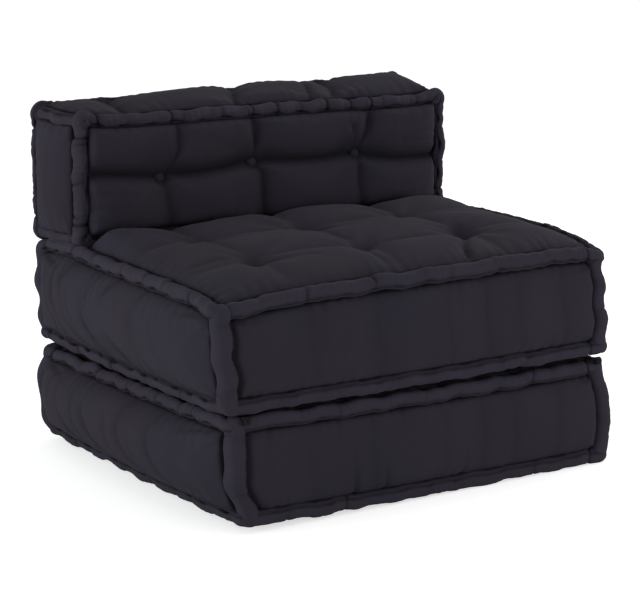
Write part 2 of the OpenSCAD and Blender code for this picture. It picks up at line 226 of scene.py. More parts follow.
def wander(s, length, turns, seed):
    """A smooth closed wander between about -1 and 1: the sum over k of
    a_k sin(2 pi n_k s / length + p_k), where the n_k are whole numbers between the two turns."""
    draw = np.random.default_rng(seed)
    count = draw.integers(turns[0], turns[1] + 1, WAVES)
    phase = draw.uniform(0, 2 * math.pi, WAVES)
    height = draw.uniform(*WAVE_HEIGHTS, WAVES) / math.sqrt(WAVES)
    angle = 2 * math.pi * np.multiply.outer(np.asarray(s) / length, count) + phase
    return (np.sin(angle) * height).sum(-1)


def bump_at(distance, width):
    """1 on a line or point and 0 away from it: exp(-(distance / width)^2)."""
    return np.exp(-(distance / width) ** 2)


# %% [markdown]
# The upright rolls at the corners stand in a groove of the borders, so where they run has to be
# known before the covers are made. Each sways a little, and at the front left the wadding has
# pushed it further round the corner.

# %% Upright lines
BEND = 15 * MM        # radius of a cushion's corners in plan
CORNER_INSET = BEND * (1 - math.cos(math.pi / 4))
UPRIGHT_SWAY = 4.5 * MM
UPRIGHT_TURNS = (1, 3)    # how often it sways along its height
UPRIGHT_IN = {"base": 9 * MM, "seat": 4 * MM, "back": 0}    # the front left one lies further in
UPRIGHT_R = {"base": 17 * MM, "seat": 16 * MM, "back": 12 * MM}
UPRIGHT_END = 14 * MM     # how far an upright roll runs on over the rings
UPRIGHT_FLARE = {"base": (6 * MM, 1 * MM, 1 * MM, 1 * MM),   # how far its ends stand out
                 "seat": (5 * MM, 1 * MM, 1 * MM, 1 * MM), "back": (0, 0, 0, 0)}
FLARE_POWER = 4
UPRIGHT_SEEDS = {"base": 400, "seat": 460, "back": 520}
CORNERS = ((-1, -1), (1, -1), (1, 1), (-1, 1))    # from the front left one round


def upright_line(cushion, number, z):
    """The place x, y of an upright roll's middle at each height z: its corner, plus a flare of
    |z / half height|^power at its ends and a sway."""
    sx, sy = CORNERS[number]
    height = 2 * (cushion.half[2] + UPRIGHT_END)
    sway = UPRIGHT_SWAY * wander(z + height / 2, height, UPRIGHT_TURNS,
                                 UPRIGHT_SEEDS[cushion.body] + 10 * number + 7)
    wrapped = UPRIGHT_IN[cushion.body] if number == 0 else 0
    end = np.clip(np.abs(z) / cushion.half[2], 0, 1)
    flare = UPRIGHT_FLARE[cushion.body][number] * end ** FLARE_POWER
    return (sx * (cushion.half[0] - CORNER_INSET - wrapped + flare) + sway,
            sy * (cushion.half[1] - CORNER_INSET + flare))


# %% [markdown]
# ## How the cushions have settled
#
# A stuffed cushion isn't the box it was cut as. Its corners hold little wadding, so they droop
# or curl, its upright edges bow out, and the middle of a top edge stands higher than its ends.
# Each corner has its own measured move, which fades towards the other corners. The front edges
# of the two mattresses don't bow, because they meet flat when the base is folded out. A Lattice
# modifier could bend a cushion like this, but here every move has a name and a size.

# %% Settling
CORNER_MOVES = {     # mm in the cushion's own axes, by corner (x, y, z)
    "base": {(-1, -1, -1): (29, 0, 9), (1, -1, -1): (-4, 0, -2), (-1, 1, -1): (8, 0, 8),
             (-1, -1, 1): (6, 0, 7), (1, -1, 1): (-12, 3, 1), (-1, 1, 1): (2, 0, -6)},
    "seat": {(-1, -1, -1): (3, 0, 6), (1, -1, -1): (-6, 0, 6), (-1, 1, -1): (-2, 0, 4),
             (-1, -1, 1): (-12, 2, -4), (1, -1, 1): (-17, 2, 6), (-1, 1, 1): (-6, 0, 0)},
    "back": {(1, 1, 1): (-3, -10, 0), (-1, 1, -1): (2, 2, 0), (1, 1, -1): (-2, 10, 0),
             (1, -1, 1): (-4, 0, 0),
             (-1, -1, 1): (-3, 1, 0), (-1, 1, 1): (3, -3, 0), (-1, -1, -1): (-1, -1, 0)}}
CORNER_FADE = 3       # the power by which a corner's move fades
BOW = {"base": 14 * MM, "seat": 5 * MM, "back": 3 * MM}    # how far the weight above bows it
WIDEN = {"base": 1, "seat": 1, "back": 1.018}    # the back is stuffed a little wider
EDGE_LIFT = {"base": 0, "seat": 13 * MM, "back": 0}
LIFT_END = 0.58       # the share of y where the lift of a top edge begins, from the rear
LIFT_RUN = 0.3        # and over how much of it the lift grows to the full
LIFT_POWER = 4        # how close to a corner it dies out
RIGHT_LIFT = 0.9      # the seat's right edge rises this much more
RIGHT_POWER = 3       # and this is how closely the extra keeps to it
LEFT_LIFT = ([-311, -277, -199, -101, 0, 111, 137, 164, 187, 214, 246, 267, 285, 311],    # y, mm
             [2, 9, 10.5, 8.5, 9, 9.5, 10.5, 14.5, 17, 15, 13, 11, 7, 2])    # lift, mm
LEFT_POWER = 12       # how closely that lift keeps to the seat's left edge
FOOT_TUCK = 19 * MM   # the base's bottom edges draw in under it
EDGE_DROP = 11 * MM   # the back's front top edge hangs between its corners
DROP_POWER = 8
FRONT_NARROW = 13 * MM    # the back's left end slants in to the front
NARROW_POWER = 3
FRONT_SLACK = 1.6 * MM    # how far a mattress's front may stand out past its rolls
FRONT_EASE = 1.3          # and how softly it is held there
FRONT_GAP = {"seat": 3 * MM, "base": 2 * MM}   # both front edges curl away from each other
FRONT_BAND = 0.15         # over this share of the depth


def edge_lift(cushion, own, share):
    """How far up a top edge is drawn: by a smooth step towards the front, more at the right, and
    at the left by the measured places."""
    upper = np.clip(share[:, 2], 0, 1)
    fore = np.clip((LIFT_END - share[:, 1]) / LIFT_RUN, 0, 1)
    right = 1 + RIGHT_LIFT * np.clip(share[:, 0], 0, 1) ** RIGHT_POWER
    lift = EDGE_LIFT[cushion.body] * (3 - 2 * fore) * fore ** 2 * (
        1 - (share[:, 0] * share[:, 1]) ** LIFT_POWER) * right
    if cushion is seat:
        left = np.clip(-share[:, 0], 0, 1) ** LEFT_POWER
        lift += left * (np.interp(own[:, 1] / MM, *LEFT_LIFT) * MM - lift)
    return lift * upper


def settle(cushion, own):
    """Moves points in a cushion's frame. With a point's shares s from -1 to 1 along the axes, a
    corner c has the weight ((1 + c_x s_x) / 2)^fade ((1 + c_y s_y) / 2)^fade (1 + c_z s_z) / 2.
    The sides bow out by 1 - s_z^2, and the front of a mattress stays near its rolls, by
    limit tanh(ease proud / limit)."""
    share = np.clip(own / cushion.half, -1, 1)
    moved = own * (WIDEN[cushion.body], 1, 1)
    for corner, move in CORNER_MOVES[cushion.body].items():
        near = (1 + np.array(corner) * share) / 2
        weight = (near[:, 0] * near[:, 1]) ** CORNER_FADE * near[:, 2]
        moved += weight[:, None] * np.array(move) * MM
    waist = 1 - share[:, 2] ** 2
    moved[:, 0] += BOW[cushion.body] * waist * share[:, 0]
    moved[:, 2] += edge_lift(cushion, own, share)
    if cushion is base:
        under = np.clip(-share[:, 2], 0, 1) ** 2 * (1 - share[:, 1] ** 2)
        moved[:, 0] -= FOOT_TUCK * under * share[:, 0]
    if cushion is back:
        fore = np.clip(share[:, 2], 0, 1)
        moved[:, 1] -= EDGE_DROP * fore * np.clip(share[:, 1], 0, 1) ** 2 * (
            1 - share[:, 0] ** DROP_POWER)
        moved[:, 0] += FRONT_NARROW * fore * np.clip(-share[:, 0], 0, 1) ** NARROW_POWER
    if cushion.body != "back":
        inner = 1 if cushion is base else -1
        front = np.clip((-share[:, 1] - (1 - FRONT_BAND)) / FRONT_BAND, 0, 1) * (
            1 - share[:, 0] ** LIFT_POWER)
        moved[:, 2] -= inner * FRONT_GAP[cushion.body] * front * np.clip(inner * share[:, 2],
                                                                        0, 1)
        moved[:, 1] += BOW[cushion.body] * waist * np.clip(share[:, 1], 0, 1)
        limit = cushion.roll + FRONT_SLACK
        proud = -moved[:, 1] - cushion.half[1]
        held = limit * np.tanh(FRONT_EASE * proud / limit)
        moved[:, 1] = -cushion.half[1] - np.where(proud > 0, held, proud)
    return moved


# %% [markdown]
# ## The covers
#
# A cover is first cut to shape: the skin of a block whose faces swell from seam to seam. Near a
# seam the cloth rises like a quarter circle, and then the face is full. Tufts pull it back in.
# The cut shape is what the sewing holds, and the pressure of the wadding comes after it. A
# subdivided cube would be quicker to make, but its points would be as far apart at the seams,
# where the cloth turns sharply, as in the middle of a face.

# %% Cut shape
CELL = 7 * MM         # spacing of the cover's threads in the solver
SEAM_CELLS = np.array([0, 3, 5, 7, 9, 11, 13.5, 17, 21.5, 27.5, 34]) * MM   # and near a seam
FINE_CELL = 3.4 * MM  # and along the back's long crease
LONG_BAND = 17 * MM   # this far to both sides of it
SEAM_TUCK = 3 * MM    # how far a seam lies inside the middle of its roll
SEAM_BAND = 6 * MM    # width of the strip at a seam that the stitches hold down


def threads(reach, close=0):
    """Places of the lattice lines from -reach to reach, close together near both seams and, if
    asked, within the distance close of the middle."""
    start = SEAM_CELLS - reach
    middle = np.linspace(start[-1], -start[-1], max(2, round(-2 * start[-1] / CELL) + 1))
    lines = np.concatenate([start, middle[1:-1], -start[::-1]])
    if close:
        fine = np.linspace(-close, close, round(2 * close / FINE_CELL) + 1)
        lines = np.concatenate([lines[lines < -close - FINE_CELL], fine,
                                lines[lines > close + FINE_CELL]])
    return lines


def rise(distance, reach):
    """0 in the band at a seam, and then up to 1 along a quarter circle: with
    t = (d - band) / reach, sqrt(1 - (1 - t)^2)."""
    t = np.clip((distance - SEAM_BAND) / reach, 0, 1)
    return np.sqrt(1 - (1 - t) ** 2)


def cut_cover(cushion, heights, rises, levels):
    """Lattice points as shares from -1 to 1, their cut places in the cushion's frame, quads, and
    which points the seams hold. heights gives, for each axis and end, a function of the place
    that says how far the face stands out from the plane through the middles of the rolls.
    rises and levels give, for each axis, how far from its seams a face is full and how far out
    its seams are."""
    reach = cushion.half - SEAM_TUCK
    lines = [threads(r, LONG_BAND if cushion is back and axis == 1 else 0)
             for axis, r in enumerate(reach)]
    lattice, quads = block_skin([len(line) - 1 for line in lines])
    place = np.column_stack([line[number] for line, number in zip(lines, lattice.T)])
    share = place / reach
    cut = place.copy()
    held = np.zeros(len(place), bool)
    for axis in range(3):
        u, v = (axis + 1) % 3, (axis + 2) % 3
        for end in (-1, 1):
            on = share[:, axis] == end
            p = place[on]
            full = (rise(reach[u] - np.abs(p[:, u]), rises[axis])
                    * rise(reach[v] - np.abs(p[:, v]), rises[axis]))
            level = levels[axis]
            cut[on, axis] += end * (level + full * (heights[axis, end](p) - level))
            held[on] |= full == 0
    return share, cut, quads, held


# %% [markdown]
# The faces differ. The flat ones lie on the floor or on another cushion. The borders bulge, and
# the tufted ones have a crown with a dimple at each tuft and a soft valley between neighbours.

# %% Faces
PRESSED = 0.5 * MM    # how far a resting face lies inside its rolls
BULGE_POWER = 8


def flat(cushion):
    """A face that stays level with its roll."""
    return lambda p: np.full(len(p), cushion.roll - PRESSED)


def bulged(cushion, axis, bulge):
    """A border: the roll's radius and a bulge, 1 - |p / reach|^power, that is full along it."""
    reach = cushion.half[axis]
    return lambda p: cushion.roll + bulge * (1 - np.abs(p[:, axis] / reach) ** BULGE_POWER)


SEAT_CROWN = 37 * MM
SEAT_DIMPLE = 29 * MM
DIMPLE_WIDTH = 37 * MM
DIMPLE_SHARPNESS = 1.25
DIMPLE_FOLDS = ((2, 0.2), (5, 0.14), (8, 0.08))    # turns round a tuft, and share of the width
VALLEY_DEPTH = 8 * MM
VALLEY_WIDTH = 34 * MM
FOLD_DEPTH = 6 * MM
FOLD_WIDTH = 9 * MM
UNEVEN = 3.5 * MM
UNEVEN_RUN = (0.083, 0.097, 0.061)    # metres, along x, y and x + y
ACROSS_POWER = (5, 14)    # how late the crown falls to the sides, and how much later at the rear
ALONG_POWER = (4, 16)     # and how late it falls to the front and to the rear
CROWN_FADE = 12 * MM      # a crease dies out where the crown is lower than this
FOOT_CLEARANCE = 4 * MM
FOOT_PRESSED = 1.5 * MM   # how far the back's foot presses the seat in
LEFT_FILL = 9 * MM        # the corner between the back's foot and the left edge is full
LEFT_FILL_AT = (-334 * MM, 118 * MM)
LEFT_FILL_WIDTH = (38 * MM, 42 * MM)
RIGHT_FALL = 0.35         # the crown falls away towards the right edge
RIGHT_FALL_WIDTH = 55 * MM
SEAT_CREASES = [   # depth and width in mm, then points (x, y) in mm
    (11, 8, [(170, -176), (146, -222), (114, -262), (100, -292)]),
    (6, 9, [(-28, -176), (-52, -226), (-48, -282)]),
    (6, 9, [(-226, -176), (-186, -206), (-140, -222)]),
    (5, 9, [(170, -176), (214, -202), (262, -206)]),
    (5, 8, [(-226, -176), (-262, -150), (-318, -148)]),
    (5, 8, [(-28, 0), (18, -22), (62, -18)])]


def crease_distance(x, y, points):
    """Distance to a line through points, the least of those to its straight pieces."""
    line = np.array(points) * MM
    a, b = line[:-1], line[1:]
    place = np.stack([x, y], -1)[:, None]
    along = np.clip(((place - a) * (b - a)).sum(-1) / ((b - a) ** 2).sum(-1), 0, 1)
    nearest = a + along[..., None] * (b - a)
    return np.hypot(*np.moveaxis(place - nearest, -1, 0)).min(1)


def seat_dimples(x, y):
    """How far each point is pulled in by the tufts: depth exp(-(r / width)^sharpness), where the
    width changes round each tuft, as the folds that run out from it do."""
    draw = np.random.default_rng(5)
    pulled = np.zeros(len(x))
    for column in columns:
        for row in rows:
            r = np.hypot(x - column, y - row)
            angle = np.arctan2(y - row, x - column)
            width = 1
            for (turns, share), start in zip(DIMPLE_FOLDS, draw.uniform(0, 2 * math.pi, 3)):
                width = width + share * np.sin(turns * angle + start)
            pulled = np.maximum(pulled, SEAT_DIMPLE * np.exp(
                -(r / (DIMPLE_WIDTH * width)) ** DIMPLE_SHARPNESS))
    return pulled


def seat_face(p):
    """The seat's top: r + crown, less the deepest of the dimples, the valleys that join them and
    the creases. Under the back cushion it is flat."""
    x, y = p[:, 0], p[:, 1]
    rear = back_foot - FOOT_CLEARANCE
    middle, half_depth = (rear - seat.half[1]) / 2, (rear + seat.half[1]) / 2
    t = (y - middle) / half_depth
    rearward = np.clip(t, 0, 1)
    across = 1 - np.abs(x / seat.half[0]) ** (ACROSS_POWER[0] + ACROSS_POWER[1] * rearward)
    along = 1 - np.minimum(1, np.abs(t)) ** np.where(t < 0, *ALONG_POWER)
    dx = np.abs(x[:, None] - columns).min(1)
    dy = np.abs(y[:, None] - rows).min(1)
    valley = VALLEY_DEPTH * np.maximum(bump_at(dx, VALLEY_WIDTH), bump_at(dy, VALLEY_WIDTH))
    valley += FOLD_DEPTH * np.maximum(np.exp(-dx / FOLD_WIDTH), np.exp(-dy / FOLD_WIDTH))
    deepest = np.maximum(seat_dimples(x, y), valley)
    uneven = UNEVEN * (np.sin(x / UNEVEN_RUN[0] + 1.1) * np.sin(y / UNEVEN_RUN[1] + 0.4)
                       + np.sin((x + y) / UNEVEN_RUN[2]))
    crown = (SEAT_CROWN - 0.5 * UNEVEN + 0.5 * uneven - deepest) * across * along
    crown += (LEFT_FILL * bump_at(x - LEFT_FILL_AT[0], LEFT_FILL_WIDTH[0])
              * bump_at(y - LEFT_FILL_AT[1], LEFT_FILL_WIDTH[1]))
    crown *= 1 - RIGHT_FALL * bump_at(x - seat.half[0], RIGHT_FALL_WIDTH)
    for depth, width, points in SEAT_CREASES:
        d = crease_distance(x, y, points)
        crown -= depth * MM * np.exp(-d / (width * MM)) * np.clip(crown / CROWN_FADE, 0, 1)
    pressed = np.where(y > rear, FOOT_PRESSED, PRESSED)
    return seat.roll - pressed + crown


# %% [markdown]
# The back's faces have creases. One runs from end to end at half height, through the buttons,
# and finer ones run up and down from each button. They could be sculpted by hand. Here they are
# lines of points, a little uneven, as the twine and the wadding have drawn them, so that each can
# be moved or made deeper on its own.

# %% Creases of the back
BACK_CROWN = 13 * MM
BUTTON_DENT = 33 * MM
BUTTON_WIDTH = 17 * MM
BUTTONS = np.array([(-207, -8), (-27, 4), (183, 3)]) * MM     # where the twine has settled
LONG_DEPTH = 30 * MM
LONG_CREASE = [(-361, 9), (-321, 9), (-284, 4), (-247, 0), (-221, -5), (-207, -8), (-190, -2),
               (-163, -4), (-132, -3), (-92, 0), (-52, 5), (-27, 4), (0, 6), (70, 2), (111, 1),
               (154, 4), (183, 3), (209, -4), (262, -11), (306, -12), (361, -12)]
CREASES = [   # depth and width in mm, then points (x, y) in mm
    (15, 6, [(-207, -8), (-186, 14), (-175, 41), (-177, 90)]),
    (21, 6, [(-27, 4), (-26, 16), (-24, 49), (-29, 95)]),
    (20, 6, [(183, 3), (189, 15), (204, 52), (210, 95)]),
    (11, 5, [(183, 3), (177, 33), (169, 62)]),
    (10, 13, [(-207, -8), (-202, -23), (-189, -95)]),
    (15, 10, [(-27, 4), (-13, -13), (-8, -95)]),
    (13, 6, [(183, 3), (186, -51), (193, -95)]),
    (4, 8, [(276, 27), (345, 22)]), (3.5, 6, [(-330, -22), (-262, -26)]),
    (3, 6, [(-335, -44), (-280, -47)]), (3, 9, [(-120, 66), (-70, 40)])]
TOP_CREASES = [   # the same on top, with points (x, z)
    (15, 7, [(-240, -70), (-262, 70)]), (16, 7, [(5, -70), (-9, -28), (-60, 75)]),
    (15, 7, [(185, -70), (165, 21), (135, 75)]), (10, 6, [(135, -40), (113, 24), (92, 75)])]


BACK_FALL = 0.35          # the share of the crown that is missing at the right end
BACK_FALL_WIDTH = 30 * MM
LONG_WIDTH = (12, 15)     # mm above the long crease, and how much more near a button
BESIDE_BUTTON = 48 * MM
UNDER_WIDTH = 6.5 * MM    # and below it
UNDER_BUTTON = 0.6        # a button's dent is shorter by this share below the crease
FACE_CREASE = (0.65, 24 * MM)    # the sharp share of a crease, and how wide the rest of it is
TOP_CREASE = (0.6, 28 * MM)


def over_crease(x, y):
    """Height above the long crease, and its width there: the cloth above it slopes in slowly,
    most of all near a button, and the cloth below it turns in sharply."""
    line = np.array(LONG_CREASE) * MM
    height = y - np.interp(x, line[:, 0], line[:, 1])
    beside = np.abs(x[:, None] - BUTTONS[:, 0]).min(1)
    slow = (LONG_WIDTH[0] + LONG_WIDTH[1] * bump_at(beside, BESIDE_BUTTON)) * MM
    return height, np.where(height > 0, slow, UNDER_WIDTH)


def button_distance(x, y):
    """Distance to the nearest button."""
    return np.hypot(x[:, None] - BUTTONS[:, 0], y[:, None] - BUTTONS[:, 1]).min(1)


def crease_depth(x, y, creases, sharp, wide):
    """How far the deepest crease draws each point in: depth times
    sharp exp(-d / width) + (1 - sharp) exp(-(d / wide)^2)."""
    deepest = np.zeros(len(x))
    for depth, width, points in creases:
        d = crease_distance(x, y, points)
        deepest = np.maximum(deepest, depth * MM * (sharp * np.exp(-d / (width * MM))
                                                    + (1 - sharp) * bump_at(d, wide)))
    return deepest


def back_face(p):
    """A tufted face of the back: r + crown, less the deepest of the dents at the buttons, the
    long crease, depth exp(-d / width), and the finer ones."""
    x, y = p[:, 0], p[:, 1]
    height, width = over_crease(x, y)
    deepest = LONG_DEPTH * np.exp(-np.abs(height) / width)
    near = button_distance(x, np.where(height < 0, y + UNDER_BUTTON * height, y))
    deepest = np.maximum(deepest, BUTTON_DENT * bump_at(near, BUTTON_WIDTH))
    deepest = np.maximum(deepest, crease_depth(x, y, CREASES, *FACE_CREASE))
    crown = BACK_CROWN * (1 - BACK_FALL * bump_at(x - back.half[0], BACK_FALL_WIDTH))
    return back.roll + crown - deepest


BACK_TOP_CROWN = ([-361, -240, -120, 0, 120, 361], [5, 6, 11, 16, 12, 9])   # x, mm


def back_top(p):
    """The back's top border: r + crown, less its creases."""
    deepest = crease_depth(p[:, 0], p[:, 2], TOP_CREASES, *TOP_CREASE)
    return back.roll + np.interp(p[:, 0] / MM, *BACK_TOP_CROWN) * MM - deepest


# %% [markdown]
# ## Blowing the covers up
#
# A pillow drawn by formula looks like plastic. Real cloth is cut a little too large and
# sewn down along its seams, so the stuffing pushes it into puffs and gathers that no formula
# gives. A cloth solver does the same here: the seams, tufts and resting faces are
# pinned, the cloth's own size is a few per cent larger than the cut shape, and pressure fills it
# for twenty frames. How far a point may move is capped, so the cushion keeps its size.

# %% Cloth solver
PRESSURE = 4
BENDING = 0.1
QUALITY = 5
FRAMES = 20
CAP = 26 * MM


def inflate(piece, pinned, spare):
    """The places of a cover's points after the solver has blown it up. spare is how much larger
    the cloth is than its cut shape, along each axis."""
    count = len(piece.data.vertices)
    rest = np.zeros(3 * count)
    piece.data.vertices.foreach_get("co", rest)
    rest = rest.reshape(-1, 3)
    middle = (rest.min(0) + rest.max(0)) / 2
    piece.shape_key_add(name="cut")
    larger = piece.shape_key_add(name="cloth")
    larger.data.foreach_set("co", (middle + (rest - middle) * (1 + np.array(spare))).ravel())
    group = piece.vertex_groups.new(name="sewn")
    group.add(np.flatnonzero(pinned).tolist(), 1.0, "REPLACE")
    modifier = piece.modifiers.new("cloth", "CLOTH")
    cloth = modifier.settings
    cloth.vertex_group_mass = group.name
    cloth.rest_shape_key = larger
    cloth.use_pressure = True
    cloth.uniform_pressure_force = PRESSURE
    cloth.effector_weights.gravity = 0
    cloth.bending_stiffness = BENDING
    cloth.quality = QUALITY
    modifier.collision_settings.use_collision = False
    modifier.point_cache.frame_end = FRAMES
    scene = bpy.context.scene
    for number in range(1, FRAMES + 1):
        scene.frame_set(number)
    solved = piece.evaluated_get(bpy.context.evaluated_depsgraph_get()).to_mesh()
    blown = np.zeros(3 * count)
    solved.vertices.foreach_get("co", blown)
    scene.frame_set(1)
    move = blown.reshape(-1, 3) - rest
    size = np.linalg.norm(move, axis=1, keepdims=True)
    print(piece.name, "moved by up to", round(float(size.max()) / MM, 1), "mm")
    return rest + move * np.minimum(1, CAP / np.maximum(size, 1e-9))


def fine_mesh(name, points, quads):
    """Points and quads after one Catmull-Clark subdivision."""
    piece = make_piece(name, points, quads)
    smooth = piece.modifiers.new("smooth", "SUBSURF")
    smooth.levels = smooth.render_levels = 1
    mesh = piece.evaluated_get(bpy.context.evaluated_depsgraph_get()).to_mesh()
    fine = np.zeros(3 * len(mesh.vertices))
    mesh.vertices.foreach_get("co", fine)
    corners = np.zeros(len(mesh.loops), int)
    mesh.loops.foreach_get("vertex_index", corners)
    bpy.data.objects.remove(piece)
    return fine.reshape(-1, 3), corners.reshape(-1, 4)


# %% [markdown]
# Some forms are too fine for the solver's cells, and are added after it. The first are the
# puckers that run into a face from the stitches of its seams.

# %% Puckers
PUCKER_PITCH = 23 * MM
PUCKER_HEIGHT = 1.4 * MM
PUCKER_REACH = 18 * MM
PUCKER_WAVE = (0.7, (3, 9))    # metres over which a wander repeats, and its turns in them: of
LIVELY_WAVE = (0.8, (2, 7))    # the puckers' places, and of their heights
PUCKER_SHIFT = 6 * MM     # how far a pucker strays from its even place


def puckers(cushion, own, seed):
    """Outward moves for points in a cushion's frame. Along the nearest seam the pucker is
    h sin(2 pi s / pitch), fading as exp(-d / reach) with the distance d from the seam."""
    inside = cushion.half - np.abs(own)
    axis = np.argmin(inside + np.where(inside > 0, cushion.roll, 0), axis=1)
    outward = np.zeros_like(own)
    outward[np.arange(len(own)), axis] = np.sign(own[np.arange(len(own)), axis])
    height = np.zeros(len(own))
    for k in range(3):
        u, v = (k + 1) % 3, (k + 2) % 3
        on = axis == k
        p = own[on]
        for across, along in ((u, v), (v, u)):
            d = np.maximum(0, cushion.half[across] - np.abs(p[:, across]) - cushion.roll)
            s = p[:, along] + PUCKER_SHIFT * wander(p[:, along], *PUCKER_WAVE, seed + k)
            lively = 0.5 + 0.5 * wander(p[:, along], *LIVELY_WAVE, seed + 5 + k)
            height[on] += (PUCKER_HEIGHT * lively * np.sin(2 * math.pi * s / PUCKER_PITCH)
                           * np.exp(-d / PUCKER_REACH))
    return outward * height[:, None]


# %% [markdown]
# The borders at the sides are gathered: their strip is longer than the edge it is sewn to, so
# it stands in upright folds with round backs and sharp valleys. They bow a little and swing
# forward at the foot, and they die out towards the smooth front corner. The front border is
# nearly smooth. It has faint folds, short puckers at its seams and a groove at each end. The
# solver makes folds of its own, but it doesn't choose where, so these are laid by formula.

# %% Gathers
FOLDS = {     # place y, depth and width in mm of each fold, a third of the way down a side
    "seat": [(286, 3, 8), (241, 3, 11), (214, 4.5, 8), (178, 6, 9), (153, 2.5, 7), (98, 5.5, 8),
             (82, 3, 6), (28, 6.5, 9), (-26, 1.5, 12), (-80, 5, 10), (-147, 1.2, 14)],
    "base": [(281, 3, 8), (236, 3, 11), (197, 5.5, 9), (160, 2.5, 8), (139, 4.5, 8), (96, 6, 9),
             (70, 2, 8), (18, 2, 10), (-28, 5, 10), (-64, 2, 9), (-122, 4.5, 10), (-200, 1.2, 14)]}
FOLD_BEND = ([-1, -0.6, -0.2, 0.15, 0.5, 1], [-88, -58, -18, 0, 2, -30])   # height share, mm
FOLD_BOW = 3 * MM         # how far all folds stray from that line with the height
FOLD_SHIFT = 2.5 * MM     # and how far each strays from its place
BOW_WAVE = (0.4, (1, 4))    # metres and turns, as above, of that line's stray
SHIFT_WAVE = (0.7, (4, 11))    # of the folds' places
FADE_WAVE = (0.3, (1, 3))    # and of their depth
RIGHT_SHIFT = 9 * MM      # the folds of the two sides don't face each other
FOLD_SWING = (0.75, 1.3)    # least and most of that line's bend that a fold takes on
GATHER_SHARE = 0.75       # how much of the depths above is used
SIDE_SMOOTH = 40 * MM     # folds die out this near a corner
PAST_ROLLS = 2 * MM       # a point this far out lies on a border
FOLD_FADE = (0.65, 0.7)    # a fold's mean depth, and how much it varies with the height
# how much more painted shade the front's folds get for their depth
FRONT_DARKER = 1.2
FRONT_FOLDS = [(-214, 1.2, 12), (-96, 1.6, 14), (38, 1.2, 10), (112, 2, 12), (176, 1.3, 10),
               (268, 1.8, 14)]
FRONT_SHIFT = 6 * MM      # how far the front's folds stray
FRONT_WAVE = (0.4, (1, 3))    # metres and turns of that
BASE_SHIFT = 11 * MM      # the base's faint folds lie beside the seat's
FRONT_SMOOTH = 30 * MM    # they die out this near a corner
UPRIGHT_GROOVE = 7 * MM   # how deep the front border is drawn in beside an upright roll
GROOVE_RUN = 3 * MM       # and how fast that fades away from the roll
FULL_SHADE = 6 * MM       # a fold this deep gets the full painted shade
FRONT_PUCKERS = {    # x, which seam (1 upper, -1 lower), reach, depth and width, in mm
    "base": [(-133, -1, 36, 8, 5), (-73, -1, 30, 7, 5), (20, -1, 20, 3, 5), (79, -1, 26, 5, 6),
             (180, -1, 22, 2.5, 6), (-160, 1, 26, 3, 6), (-285, 1, 26, 3, 7), (-40, 1, 24, 3, 6),
             (110, 1, 22, 2.5, 6), (244, 1, 18, 2, 6)],
    "seat": [(-300, 1, 20, 2, 6), (-190, 1, 26, 3, 7), (-60, 1, 22, 2, 6), (60, 1, 26, 3, 7),
             (190, 1, 24, 2.5, 6), (-240, -1, 22, 2.5, 6), (-100, -1, 26, 3, 6),
             (40, -1, 20, 2, 6), (240, -1, 24, 3, 7)]}


def side_folds(cushion, own, seed):
    """Depth of the folds at the sides: each is depth exp(-d / width), with the distance d from
    a line that bows and swings forward with the height."""
    x, y, z = own[:, 0], own[:, 1], own[:, 2] / cushion.half[2]
    bend = np.interp(z, *FOLD_BEND) * MM + FOLD_BOW * wander(own[:, 2], *BOW_WAVE, seed)
    s = (y + FOLD_SHIFT * wander(y + own[:, 2], *SHIFT_WAVE, seed + 1)
         + RIGHT_SHIFT * (np.sign(x) > 0))
    folds = FOLDS[cushion.body]
    swing = np.random.default_rng(seed + 9).uniform(*FOLD_SWING, len(folds))
    depth = np.zeros(len(own))
    for lean, (place, deep, width) in zip(swing, folds):
        away = np.abs(s - place * MM - lean * bend)
        fade = FOLD_FADE[0] + FOLD_FADE[1] * wander(own[:, 2] + place * MM, *FADE_WAVE,
                                                     seed + abs(place))
        depth = np.maximum(depth, fade * deep * MM * np.exp(-away / (width * MM)))
    smooth = np.clip((cushion.half[1] - np.abs(y)) / SIDE_SMOOTH, 0, 1)
    return GATHER_SHARE * depth * smooth * (np.abs(x) > cushion.half[0] + PAST_ROLLS)


def front_folds(cushion, own, seed):
    """Depth of the front border's faint folds, of the puckers that run into it from its seams,
    depth exp(-dx / width) exp(-dz / reach), and of the groove beside each upright roll."""
    x, y = own[:, 0], own[:, 1]
    depth = np.zeros(len(own))
    lean = (x + FRONT_SHIFT * wander(own[:, 2], *FRONT_WAVE, seed + 2)
            + BASE_SHIFT * (cushion is base))
    for place, deep, width in FRONT_FOLDS:
        depth = np.maximum(depth, deep * MM * np.exp(-np.abs(lean - place * MM) / (width * MM)))
    for place, end, reach, deep, width in FRONT_PUCKERS[cushion.body]:
        d = np.maximum(0, cushion.half[2] - SEAM_BAND - end * own[:, 2])
        line = np.exp(-np.abs(lean - place * MM) / (width * MM))
        depth = np.maximum(depth, deep * MM * line * np.exp(-d / (reach * MM)))
    depth *= np.clip((cushion.half[0] - np.abs(x)) / FRONT_SMOOTH, 0, 1)
    for number, inward in ((0, 1), (1, -1)):
        middle = upright_line(cushion, number, own[:, 2])[0]
        d = inward * (x - middle) - UPRIGHT_R[cushion.body]
        depth = np.maximum(depth, UPRIGHT_GROOVE * np.where(d > 0, np.exp(-d / GROOVE_RUN), 1))
    return depth * (y < -cushion.half[1] - PAST_ROLLS)


def gathers(cushion, own, seed):
    """Points whose side borders are drawn in by their folds, how deep the front's are, which
    are drawn in later, and how much painted shade the folds give each point."""
    depth, front = side_folds(cushion, own, seed), front_folds(cushion, own, seed)
    moved = own.copy()
    moved[:, 0] -= np.sign(own[:, 0]) * depth
    return moved, front, np.clip((depth + FRONT_DARKER * front) / FULL_SHADE, 0, 1)
